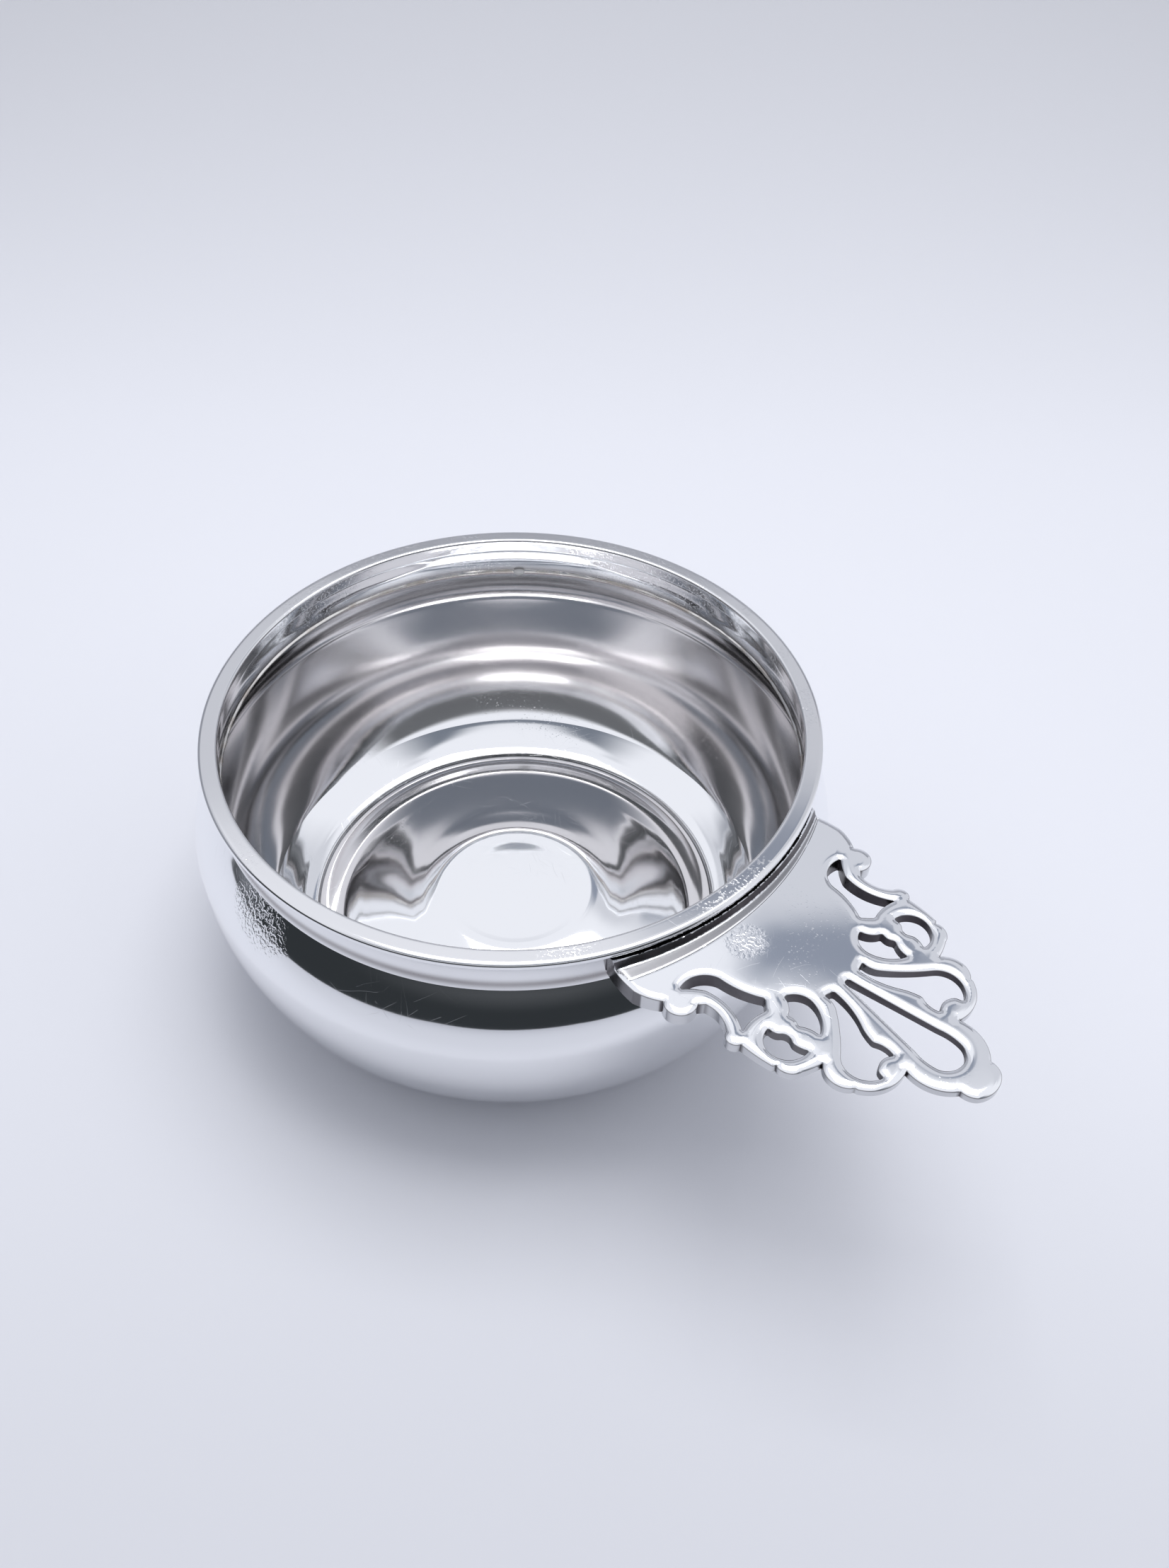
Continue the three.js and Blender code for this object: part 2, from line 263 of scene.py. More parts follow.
def turning_tree() -> NodeTree:
    """Builds the tree that turns a profile about the Z axis.

    Returns:
        A geometry tree whose input mesh is the profile: X is a radius and Z a height.
    """
    tree = bpy.data.node_groups.new("turned_piece", "GeometryNodeTree")
    floats = [(name, "Float") for name in ("Axis X", "Unevenness", "Waves", "Seed")]
    for name, kind in [("Profile", "Geometry"), ("Around", "Int"), *floats, ("Material", "Material")]:
        tree.interface.new_socket(name, in_out="INPUT", socket_type="NodeSocket" + kind)
    tree.interface.new_socket("Piece", in_out="OUTPUT", socket_type="NodeSocketGeometry")
    wiring = Wiring(tree)
    given = wiring.add("NodeGroupInput").outputs
    rows = wiring.add("GeometryNodeAttributeDomainSize", {"Geometry": given["Profile"]}).outputs["Point Count"]
    columns = wiring.math("ADD", given["Around"], 1.0)
    grid = wiring.add("GeometryNodeMeshGrid", {"Vertices X": columns, "Vertices Y": rows})
    index = wiring.add("GeometryNodeInputIndex").outputs[0]
    column = wiring.math("FLOOR", wiring.math("DIVIDE", wiring.math("ADD", index, 0.5), rows))
    row = wiring.math("SUBTRACT", index, wiring.math("MULTIPLY", column, rows))

    def at_row(value: object, kind: str) -> Socket:
        """Reads a value of the profile's point on this row."""
        inputs = {"Geometry": given["Profile"], "Value": value, "Index": row}
        return wiring.add("GeometryNodeSampleIndex", inputs, data_type=kind, domain="POINT").outputs[0]

    profile_place = at_row(wiring.add("GeometryNodeInputPosition").outputs[0], "FLOAT_VECTOR")
    place = wiring.add("ShaderNodeSeparateXYZ", {0: profile_place})
    angle = wiring.math("MULTIPLY", wiring.math("DIVIDE", column, given["Around"]), math.tau)
    x, y = (wiring.math("MULTIPLY", place.outputs["X"], wiring.math(way, angle)) for way in ("COSINE", "SINE"))
    x = wiring.math("ADD", given["Axis X"], x)
    spot = wiring.add("ShaderNodeCombineXYZ", {"X": x, "Y": y, "Z": place.outputs["Z"]}).outputs[0]
    named = wiring.add("GeometryNodeInputNamedAttribute", {"Name": TARNISH_AND_SHADE}, data_type="FLOAT").outputs[0]
    dark = {"Name": TARNISH_AND_SHADE, "Value": at_row(named, "FLOAT")}
    piece = wiring.step("SetPosition", grid.outputs["Mesh"], {"Position": spot})
    piece = wiring.step("StoreNamedAttribute", piece, dark, data_type="FLOAT", domain="POINT")
    piece = wiring.step("MergeByDistance", piece, {"Distance": 1e-7})
    inputs = {
        "Vector": wiring.add("GeometryNodeInputPosition").outputs[0],
        "W": given["Seed"],
        "Scale": given["Waves"],
        "Detail": 1.0,
    }
    noise = wiring.add("ShaderNodeTexNoise", inputs, noise_dimensions="4D")
    swell = wiring.math("MULTIPLY", wiring.math("SUBTRACT", noise.outputs[0], 0.8), given["Unevenness"])
    push = wiring.vector("SCALE", wiring.add("GeometryNodeInputNormal").outputs[0], Scale=swell)
    piece = wiring.step("SetPosition", piece, {"Offset": push})
    piece = wiring.step("SetShadeSmooth", piece)
    piece = wiring.step("RealizeInstances", piece)
    piece = wiring.step("SetMaterial", piece, {"Material": given["Material"]})
    wiring.add("NodeGroupOutput", {"Piece": piece})
    return tree


def placed(name: str, data: bpy.types.ID) -> bpy.types.Object:
    """Puts a new object in the scene.

    Args:
        name: Its name.
        data: Its mesh, lamp or camera.

    Returns:
        The object.
    """
    thing = bpy.data.objects.new(name, data)
    bpy.context.scene.collection.objects.link(thing)
    return thing


def finished(name: str, mesh: Mesh, replaced: str, crease: float) -> bpy.types.Object:
    """Puts a finished mesh in the scene as a piece that stands for a CAD node.

    Args:
        name: The piece's name.
        mesh: Its mesh, already in place.
        replaced: The CAD node that it stands for.
        crease: The angle in degrees past which an edge is left sharp.

    Returns:
        The piece.
    """
    bm = bmesh.new()
    bm.from_mesh(mesh)
    bmesh.ops.recalc_face_normals(bm, faces=bm.faces)
    bm.to_mesh(mesh)
    bm.free()
    mesh.name = name
    mesh.shade_smooth()
    mesh.set_sharp_from_angle(angle=math.radians(crease))
    piece = placed(name, mesh)
    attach(piece, BODY)
    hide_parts(replaced)
    log.info("%s: %d faces", name, len(mesh.polygons))
    return piece


@dataclass
class Turning:
    """A piece that is turned about the bowl's axis.

    Attributes:
        name: The piece's name.
        profile: Its section, as radii and heights in millimetres.
        tarnish_and_shade: How far each point's colour is darkened, from 0 to 1, by oxide and by painted shade.
        around: Steps all the way round.
        unevenness: How far the surface sinks where it is uneven, in millimetres.
        waves: The unevenness's frequency, in waves per metre.
        seed: Which unevenness is drawn.
    """

    name: str
    profile: Line
    tarnish_and_shade: list[float]
    around: int
    unevenness: float
    waves: float
    seed: float

    def mesh(self, tree: NodeTree, axis_x: float, material: Material) -> Mesh:
        """Turns the section and returns a plain mesh.

        Args:
            tree: The turning tree.
            axis_x: Where the axis stands, in millimetres.
            material: The piece's material.

        Returns:
            A mesh in its place.
        """
        section = bpy.data.meshes.new(self.name + "_section")
        section.from_pydata([(r * MM, 0.0, z * MM) for r, z in self.profile], [], [])
        section.attributes.new(TARNISH_AND_SHADE, "FLOAT", "POINT").data.foreach_set("value", self.tarnish_and_shade)
        holder = placed(self.name + "_section", section)
        modifier = holder.modifiers.new("turning", "NODES")
        modifier.node_group = tree
        values = {
            "Around": self.around,
            "Axis X": axis_x * MM,
            "Unevenness": self.unevenness * MM,
            "Waves": self.waves,
            "Seed": self.seed,
            "Material": material,
        }
        for item in tree.interface.items_tree:
            if item.name in values:
                modifier[item.identifier] = values[item.name]
        graph = bpy.context.evaluated_depsgraph_get()
        mesh = bpy.data.meshes.new_from_object(holder.evaluated_get(graph))
        holder.modifiers.remove(modifier)
        bpy.data.objects.remove(holder)
        return mesh


# Finishes


def surface(name: str, metallic: float) -> tuple[Material, Wiring, bpy.types.Node, Socket]:
    """Starts a material.

    Args:
        name: Its name.
        metallic: 1 for metal and 0 for anything else.

    Returns:
        The material, its wiring, its shader and the place on the piece.
    """
    material = bpy.data.materials.new(name)
    material.use_nodes = True
    wiring = Wiring(material.node_tree)
    shader = material.node_tree.nodes["Principled BSDF"]
    shader.inputs["Metallic"].default_value = metallic
    return material, wiring, shader, wiring.add("ShaderNodeTexCoord").outputs["Object"]


@dataclass(frozen=True)
class SilverFinish:
    """Polished silver with scratches, worn specks, and darkening for oxide and painted shade.

    Attributes:
        name: The material's name.
        colour: The clean metal's colour.
        dull_colour: The colour that oxide, painted shade and painted reflections darken the metal towards.
        roughness: The polish of clean metal, and how much it varies.
        added_roughness: What specks, scratches and the darkened places add to it.
        scratch_depth: How deep the scratches are, in metres.
        speck_depth: How deep the worn specks are, in metres.
        wave_depth: How deep the hand-filed unevenness is, in metres.
        specks: How much of the surface has specks, from 0 to 1.
        speck_edges: Where worn blotches and specks start and are full, and how far specks lower both.
        scales: The scales of blotches, specks, filed waves and grain.
        scratch_layers: Each layer's scale and width, and where rubbing starts and is full.
        scratch_bend: The scale of the bends in scratches, and how far they go, in metres.
        rubbed_scale: The scale of the rubbed places, which alone have scratches.
        patch_place: The middle of a grainy worn patch, in metres, or None.
        patch_size: How far that patch reaches, in metres.
        patch_depth: How deep its grain is, in metres.
    """

    name: str
    colour: Triple
    dull_colour: Triple
    roughness: Point = (0.035, 0.05)
    added_roughness: Triple = (0.14, 0.15, 0.25)
    scratch_depth: float = 2e-6
    speck_depth: float = 5e-6
    wave_depth: float = 1.5e-5
    specks: float = 0.3
    speck_edges: tuple[Triple, Triple] = ((0.62, 0.8, 0.2), (0.7, 0.79, 0.16))
    scales: tuple[float, float, float, float] = (45.0, 2300.0, 85.0, 1600.0)
    scratch_layers: tuple[tuple[float, float, float, float], ...] = (
        (70.0, 2.0e-5, 0.55, 0.8),
        (160.0, 1.7e-5, 0.48, 0.74),
        (330.0, 1.3e-5, 0.4, 0.7),
    )
    scratch_bend: Point = (110.0, 0.0022)
    rubbed_scale: float = 38.0
    patch_place: Triple | None = None
    patch_size: float = 0.0095
    patch_depth: float = 5e-5

    def material(self) -> Material:
        """Builds the material.

        Returns:
            The finished material.
        """
        material, wiring, shader, place = surface(self.name, 1.0)
        blotches, fine, waves = (wiring.noise(place, s, d) for s, d in zip(self.scales, (4.0, 1.0, 2.0)))
        scratches = self.scratches(wiring, place)
        worn, dots = (
            wiring.ramp(noise, low - gain * self.specks, high - gain * self.specks)
            for noise, (low, high, gain) in zip((blotches, fine), self.speck_edges)
        )
        specks = wiring.math("MULTIPLY", worn, dots)
        # Each point's stored darkness, from oxide and from painted shade and reflections, pulls the colour
        # towards dull_colour.
        tarnish_and_shade = wiring.add("ShaderNodeAttribute", attribute_name=TARNISH_AND_SHADE).outputs["Fac"]
        mottled = wiring.math("MULTIPLY", tarnish_and_shade, wiring.ramp(blotches, 0.3, 0.6, 0.88, 1.0))
        wiring.feed(shader.inputs["Base Color"], wiring.mix(mottled, self.colour, self.dull_colour))
        rough = wiring.math("MULTIPLY_ADD", blotches, self.roughness[1], self.roughness[0])
        for part, share in zip((specks, scratches, mottled), self.added_roughness):
            rough = wiring.math("MULTIPLY_ADD", part, share, rough)
        wiring.feed(shader.inputs["Roughness"], rough)
        height = wiring.math("MULTIPLY", waves, self.wave_depth)
        for part, depth in ((scratches, self.scratch_depth), (specks, self.speck_depth)):
            height = wiring.math("MULTIPLY_ADD", part, -depth, height)
        if self.patch_place:
            height = wiring.math("SUBTRACT", height, self.grain(wiring, place))
        bump = wiring.add("ShaderNodeBump", {"Height": height, "Distance": 1.0})
        wiring.feed(shader.inputs["Normal"], bump.outputs[0])
        return material

    def grain(self, wiring: Wiring, place: Socket) -> Socket:
        """Draws the grainy worn patch.

        Args:
            wiring: The material's wiring.
            place: The place on the piece.

        Returns:
            How deep the grain is here, in metres.
        """
        way = wiring.vector("DISTANCE", place, self.patch_place)
        reach = wiring.ramp(way, 0.2 * self.patch_size, self.patch_size, self.patch_depth, 0.0)
        lumps = wiring.noise(place, self.scales[3], 2.0)
        return wiring.math("MULTIPLY", reach, wiring.ramp(lumps, 0.42, 0.66))

    def scratches(self, wiring: Wiring, place: Socket) -> Socket:
        """Draws sparse, slightly bent scratches, each in its own direction.

        Args:
            wiring: The material's wiring.
            place: The place on the piece.

        Returns:
            How deep a scratch is here, from 0 to 1.
        """
        bend_scale, drift = self.scratch_bend
        half = (0.5,) * 3
        bent = wiring.vector("MULTIPLY_ADD", wiring.noise(place, bend_scale, 1.0, "Color"), (drift,) * 3, place)
        rubbed = wiring.noise(place, self.rubbed_scale, 2.0)
        total = None
        for scale, width, low, high in self.scratch_layers:
            cell = wiring.add("ShaderNodeTexVoronoi", {"Vector": bent, "Scale": scale}).outputs
            across = wiring.vector("NORMALIZE", wiring.vector("SUBTRACT", cell["Color"], half))
            away = wiring.vector("DOT_PRODUCT", wiring.vector("SUBTRACT", bent, cell["Position"]), across)
            line = wiring.ramp(wiring.math("ABSOLUTE", away), 0.3 * width, width, 1.0, 0.0)
            line = wiring.math("MULTIPLY", line, wiring.ramp(rubbed, low, high))
            total = line if total is None else wiring.math("MAXIMUM", total, line)
        return total


@dataclass(frozen=True)
class SolderFinish:
    """Dull silver solder.

    Attributes:
        name: The material's name.
        colour: The solder's colour.
        dull_colour: Its colour in patches.
        roughness: The polish of its smoothest and its roughest places.
        scales: The scales of its patches and of its grain.
        grain_depth: How deep the grain is, in metres.
    """

    name: str
    colour: Triple
    dull_colour: Triple
    roughness: Point = (0.16, 0.34)
    scales: Point = (180.0, 900.0)
    grain_depth: float = 3e-5

    def material(self) -> Material:
        """Builds the material.

        Returns:
            The finished material.
        """
        material, wiring, shader, place = surface(self.name, 1.0)
        blotches = wiring.noise(place, self.scales[0], 4.0)
        colour = wiring.mix(wiring.ramp(blotches, 0.45, 0.65), self.colour, self.dull_colour)
        wiring.feed(shader.inputs["Base Color"], colour)
        wiring.feed(shader.inputs["Roughness"], wiring.ramp(blotches, 0.35, 0.65, *self.roughness))
        grain = wiring.math("MULTIPLY", wiring.noise(place, self.scales[1], 3.0), self.grain_depth)
        bump = wiring.add("ShaderNodeBump", {"Height": grain, "Distance": 1.0})
        wiring.feed(shader.inputs["Normal"], bump.outputs[0])
        return material


# The bowl and its rim


@dataclass
class Mouth:
    """Sizes round the mouth that the pieces share, in millimetres, with depths below the rim's top."""

    axis_x: float
    rim_height: float
    lip_radius: float
    belly_radius: float
    neck_inset: float = 1.9
    neck_gauge: float = 1.0
    neck_waist_depth: float = 5.6
    neck_flare: float = 0.3
    seam_depth: float = 8.7

    @classmethod
    def from_frame(cls) -> "Mouth":
        """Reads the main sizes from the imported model.

        Returns:
            The sizes round the mouth.
        """
        low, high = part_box("moulded_rim")
        body_low, body_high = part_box("bowl_body")
        return cls(
            axis_x=(low.x + high.x) / 2 / MM,
            rim_height=high.z / MM,
            lip_radius=(high.x - low.x) / 2 / MM,
            belly_radius=(body_high.x - body_low.x) / 2 / MM,
        )

    @property
    def neck_radius(self) -> float:
        """Outer radius of the neck's waist."""
        return self.lip_radius - self.neck_inset

    @property
    def waist_height(self) -> float:
        """Height of the neck's waist."""
        return self.rim_height - self.neck_waist_depth

    @property
    def seam(self) -> Point:
        """The seam's outer edge, as a radius and a height."""
        return self.neck_radius + self.neck_flare, self.rim_height - self.seam_depth


@dataclass
class Bowl:
    """The bowl's body, raised from one sheet, in millimetres."""

    mouth: Mouth
    gauge: float = 1.0
    belly_depth: float = 20.9
    lower_pull: float = 22.9
    heel_pull: float = 4.1
    rest_radius: float = 42.4
    rest_width: float = 3.4
    dome_rise: float = 2.6
    dome_pull: float = 24.0
    dome_foot_pull: float = 6.0
    upper_pull: float = 4.5
    shoulder: Point = (2.3, 3.2)
    inner_shoulder: Point = (1.7, 3.3)
    floor_line: tuple[Point, ...] = (
        (0, 5.05), (5, 5.05), (9, 5.05), (13, 5.06), (16, 5.169), (18.5, 4.84), (21, 4.301),
        (23.5, 3.77), (26, 3.394), (29, 3.114), (32, 2.958), (34.5, 2.906), (36.5, 2.784),
        (38.5, 2.2), (40, 1.72), (41.5, 1.5), (43, 1.74), (44.5, 2.298), (46, 3.235),
        (47.2, 4.046), (48.4, 4.919),
    )
    crease_radius: float = 49.6
    wall_foot: float = 20.0
    # The inside wall is coloured darker and warmer between the middle two of these heights, fading out towards
    # the outer two.
    wall_darkening: float = 0.25
    wall_darkening_heights: tuple[float, ...] = (7, 14, 38, 44)
    wall_waves: tuple[Point, ...] = (
        (6, 0), (9, -0.046), (12, 0.043), (15, 0.175), (18, 0.256), (21, 0.2), (24, 0.035),
        (27, -0.139), (30, -0.249), (33, -0.267), (36, -0.184), (39, -0.058), (42, 0.035), (45.5, 0),
    )
    seam_line: Triple = (0.7, 0.7, 0.35)
    around: int = 296
    unevenness: float = 0.12
    waves: float = 24.0
    seed: float = 3.0
    crease: float = 50.0

    def outside(self, shoulder: Point) -> Line:
        """Draws the outside, from the middle of the domed bottom to the seam.

        Args:
            shoulder: How far out and down from the seam the shoulder heads.

        Returns:
            The outside as radii and heights.
        """
        seam, rest = self.mouth.seam, (self.rest_radius, 0)
        belly = (self.mouth.belly_radius, self.mouth.rim_height - self.belly_depth)
        inner, rise = self.rest_radius - self.rest_width, self.dome_rise
        dome = bend((0, rise), (self.dome_pull, rise), (inner - self.dome_foot_pull, 0), (inner, 0), steps=34)
        heel = (self.rest_radius + self.heel_pull, 0)
        lower = bend(rest, heel, (belly[0], belly[1] - self.lower_pull), belly, steps=60)
        arrive = (seam[0] + shoulder[0], seam[1] - shoulder[1])
        upper = bend(belly, (belly[0], belly[1] + self.upper_pull), arrive, seam, steps=26)
        return join(dome, lower, upper)

    def inside(self) -> Line:
        """Draws the inside.

        Returns:
            The line from the middle of the floor, over the crease and up the hammered wall to the seam.
        """
        seam = self.mouth.seam
        line = offset(self.outside(self.inner_shoulder), self.gauge)
        wall = [p for p in line if p[0] > self.crease_radius or p[1] > self.wall_foot]
        wall = [p for p in wall if p[1] <= seam[1]]
        floor = through([(-9, self.floor_line[1][1]), *self.floor_line, wall[0]], 4)[4:]
        heights, outs = zip(*through(list(self.wall_waves), 8))
        wall = [(r + float(np.interp(z, heights, outs)), z) for r, z in wall]
        return join(floor, wall, [(seam[0] - self.gauge, seam[1])])

    def build(self, tree: NodeTree, material: Material) -> None:
        """Turns the body and puts it in the scene.

        Args:
            tree: The turning tree.
            material: Its finish.
        """
        outside, inside = self.outside(self.shoulder), self.inside()
        section = outside + inside[::-1]
        tarnish_and_shade = [0.0] * len(outside) + [self.shade(p) for p in inside[::-1]]
        turning = Turning("bowl", section, tarnish_and_shade, self.around, self.unevenness, self.waves, self.seed)
        mesh = turning.mesh(tree, self.mouth.axis_x, material)
        finished("bowl", mesh, "bowl_body", self.crease)

    def shade(self, point: Point) -> float:
        """Says how dark the inside is coloured: the darker wall band and the dark line just below the seam.

        Args:
            point: A point of the inside.

        Returns:
            How far its colour is darkened, from 0 to 1.
        """
        dark, drop, width = self.seam_line
        wall = self.wall_darkening * float(np.interp(point[1], self.wall_darkening_heights, (0, 1, 1, 0)))
        return max(wall, dark * hill(point[1], self.mouth.seam[1] - drop, width))


@dataclass
class Rim:
    """The moulded rim, a hollow neck with a flat lip, in millimetres."""

    mouth: Mouth
    lip_width: float = 3.5
    edge_depth: float = 1.3
    edge_round: float = 0.9
    undercut: float = 0.9
    undercut_depth: float = 1.55
    bore_depth: float = 2.4
    bore_round: float = 0.6
    bore_step: float = 1.0
    flare_pull: float = 1.3
    rise_pull: float = 2.2
    cove_out: float = 0.8
    cove_down: float = 0.5
    top_tarnish: float = 0.12
    top_reach: float = 0.3
    # Painted grey reflection over the outside of the neck.
    neck_grey_reflection: float = 0.08
    neck_sides: Point = (0.2, 0.3)
    # Painted shadow under the lip: its darkness, and how far it reaches from the deepest point of the undercut.
    lip_undercut_shadow: Point = (0.95, 0.6)
    # Painted dark reflection low on the neck: its darkness, its rise above the seam and its width.
    neck_foot_reflection: Triple = (0.55, 1.3, 0.85)
    seam_line: Triple = (0.75, 1.0, 0.5)
    steps: Triple = (0.35, 0.5, 0.8)
    around: int = 360
    unevenness: float = 0.02
    waves: float = 30.0
    seed: float = 8.0
    crease: float = 40.0

    def outside(self) -> Line:
        """Draws the outside.

        Returns:
            The line from the seam up the neck, under the lip and round its edge.
        """
        top, lip, neck = self.mouth.rim_height, self.mouth.lip_radius, self.mouth.neck_radius
        seam, waist = self.mouth.seam, (neck, self.mouth.waist_height)
        under = (lip - self.undercut, top - self.undercut_depth)
        foot = bend(seam, (neck, seam[1] + self.flare_pull), waist, steps=12)
        arrive = (under[0] - self.cove_out, under[1] - self.cove_down)
        cove = bend(waist, (neck, waist[1] + self.rise_pull), arrive, under, steps=14)
        edge = bend(under, (lip, top - self.edge_depth), (lip, top - self.edge_round), steps=6)
        shoulder = bend(edge[-1], (lip, top), (lip - self.edge_round, top), steps=10)
        return join(foot, cove, edge, shoulder)

    def build(self, tree: NodeTree, material: Material) -> None:
        """Turns the rim and puts it in the scene.

        Args:
            tree: The turning tree.
            material: Its finish.
        """
        top, bore = self.mouth.rim_height, self.mouth.lip_radius - self.lip_width
        neck = self.mouth.neck_radius - self.mouth.neck_gauge
        foot = top - self.bore_depth
        outside = self.outside()
        flat_step, wall_step, neck_step = self.steps
        flat = spaced([outside[-1], (bore + self.bore_round, top)], flat_step)
        mouth = bend(flat[-1], (bore, top), (bore, top - self.bore_round), steps=7)
        wall = spaced([mouth[-1], (bore, foot)], wall_step)
        step = bend((bore, foot), (neck, foot), (neck, foot - self.bore_step), steps=6)
        inner_seam = (self.mouth.seam[0] - self.mouth.neck_gauge, self.mouth.seam[1])
        inside = spaced([step[-1], (neck, self.mouth.waist_height), inner_seam], neck_step)
        section = join(outside, flat, mouth, wall, step, inside, [inner_seam, outside[0]])
        undercut = (self.mouth.lip_radius - self.undercut, top - self.undercut_depth)
        tarnish_and_shade = [self.shade(p, undercut) for p in section]
        turning = Turning("rim", section, tarnish_and_shade, self.around, self.unevenness, self.waves, self.seed)
        mesh = turning.mesh(tree, self.mouth.axis_x, material)
        finished("rim", mesh, "moulded_rim", self.crease)

    def shade(self, point: Point, undercut: Point) -> float:
        """Says how dark the rim is coloured, also painting shadow under the lip and reflections on the neck.

        Args:
            point: A point of the section.
            undercut: The deepest point under the lip.

        Returns:
            How far its colour is darkened, from 0 to 1.
        """
        radius, height = point
        neck, seam = self.mouth.neck_radius, self.mouth.seam[1]
        outer, inner = (neck - depth for depth in self.neck_sides)
        dark = self.top_tarnish if height > self.mouth.rim_height - self.top_reach else 0.0
        # Painted dark reflection on the outside of the neck, darkest a little above the seam.
        if height < undercut[1] and radius > outer:
            deep, rise, width = self.neck_foot_reflection
            dark = self.neck_grey_reflection + deep * hill(height, seam + rise, width)
        if height < undercut[1] and radius < inner:
            deep, rise, width = self.seam_line
            dark = deep * hill(height, seam + rise, width)
        # Painted shadow in the undercut under the lip.
        deep, width = self.lip_undercut_shadow
        return max(dark, deep * hill(math.dist(point, undercut), 0.0, width))


@dataclass
class SeamBead:
    """The bead of solder inside, over the joint of rim and body, in millimetres."""

    mouth: Mouth
    gauge: float = 1.0
    height: float = 1.2
    swell: float = 0.55
    top_proud: float = 0.04
    foot_depth: float = 0.22
    back_depth: float = 0.25
    around: int = 420
    unevenness: float = 0.35
    waves: float = 330.0
    seed: float = 5.0
    crease: float = 60.0
    drop_azimuth: float = 137.6
    drop_size: float = 0.85
    drop_proud: float = 0.25
    drop_stretch: float = 0.5
    drop_flatness: float = 0.3

    def build(self, tree: NodeTree, material: Material) -> None:
        """Turns the bead and puts it in the scene.

        Args:
            tree: The turning tree.
            material: Its finish.
        """
        seam = self.mouth.seam
        radius, level = seam[0] - self.gauge, seam[1]
        half = self.height / 2
        top, foot = (radius - self.top_proud, level + half), (radius + self.foot_depth, level - half)
        back = (radius + self.back_depth, level)
        face = bend(top, (radius - 2 * self.swell, level), foot, steps=10)
        section = join(face, [foot, back, top])
        clean = [0.0] * len(section)
        turning = Turning("seam_bead", section, clean, self.around, self.unevenness, self.waves, self.seed)
        mesh = turning.mesh(tree, self.mouth.axis_x, material)
        self.add_drop(mesh, radius - self.drop_proud, level)
        finished("seam_bead", mesh, "seam_solder", self.crease)

    def add_drop(self, mesh: Mesh, radius: float, level: float) -> None:
        """Adds the one drop of solder that stands on the bead.

        Args:
            mesh: The bead's mesh.
            radius: How far from the axis the drop's middle is.
            level: How high it is.
        """
        turn = math.radians(self.drop_azimuth)
        middle = Vector((self.mouth.axis_x + radius * math.cos(turn), radius * math.sin(turn), level)) * MM
        bm = bmesh.new()
        bm.from_mesh(mesh)
        drop = bmesh.ops.create_uvsphere(bm, u_segments=20, v_segments=12, radius=self.drop_size * MM)["verts"]
        along = Vector((-math.sin(turn), math.cos(turn), 0.0))
        for vertex in drop:
            sunk = Vector((0, 0, vertex.co.z * self.drop_flatness))
            vertex.co += along * vertex.co.dot(along) * self.drop_stretch - sunk
            vertex.co += middle
        bm.to_mesh(mesh)
        bm.free()


# The handle

# Each stretch of a line: how far beyond the lip it ends, how far out from the middle, and its bow
HANDLE_SIDE: list[Stretch] = [
    (-7, 24, 0), (0.2, 25.3, 0.3), (4.7, 23.4, 0.3), (8.9, 20, 2.4), (9.7, 19.1, 0),
    (15.3, 20.6, -0.8), (18.4, 20.7, 1.15), (24.2, 20.2, 0.15), (24.5, 19.7, 0), (25, 19.9, 0),
    (27.9, 17.7, 0.7), (29, 14.5, 0.1), (34.7, 14.85, 1.35), (35, 14.4, 0), (35.5, 14.3, 0),
    (38.4, 6.6, 1.45), (46, 3.8, 1.3), (48.5, 2.9, 0.3),
]
COMMA: list[Stretch] = [
    (4.8, 19.8, 0), (7.8, 13.9, -1.5), (15.3, 11.7, 0.5), (17, 13.4, 0), (17, 18.8, 0.45),
    (7.9, 17.2, 1.05), (4.8, 19.8, 0.15),
]
INNER_MOON: list[Stretch] = [
    (17.1, 9.4, 0), (20.6, 6.9, -0.8), (25.5, 10.9, -0.85), (22.2, 12, 0.35), (19.9, 11.7, 0.4),
    (17.1, 9.4, 0.5),
]
OUTER_MOON: list[Stretch] = [
    (19.3, 15.5, 0), (22.6, 18.8, 0.95), (26.2, 14.2, 1.35), (23.5, 14.9, -0.25),
    (21.1, 15.2, 0.65), (19.3, 15.5, -0.2),
]
TAILED_BEAN: list[Stretch] = [
    (21.3, 4.7, 0), (21.8, 3, 0), (29.1, 5.2, -0.5), (31.9, 6.1, 0.1), (35.5, 5.8, -0.45),
    (35.6, 9.7, 0.85), (36.8, 10, 0), (32.7, 13, -0.9), (30, 11.5, -0.35), (24.3, 5.5, 0.25),
    (21.3, 4.7, 0.35),
]
TEARDROP: list[Stretch] = [
    (21.9, -0.5, 0), (21.9, 0.5, 0.15), (37.2, 2.9, 0), (41.6, 3, 0.3), (41.6, -3, 1.9),
    (37.2, -2.9, 0.3), (21.9, -0.5, 0),
]


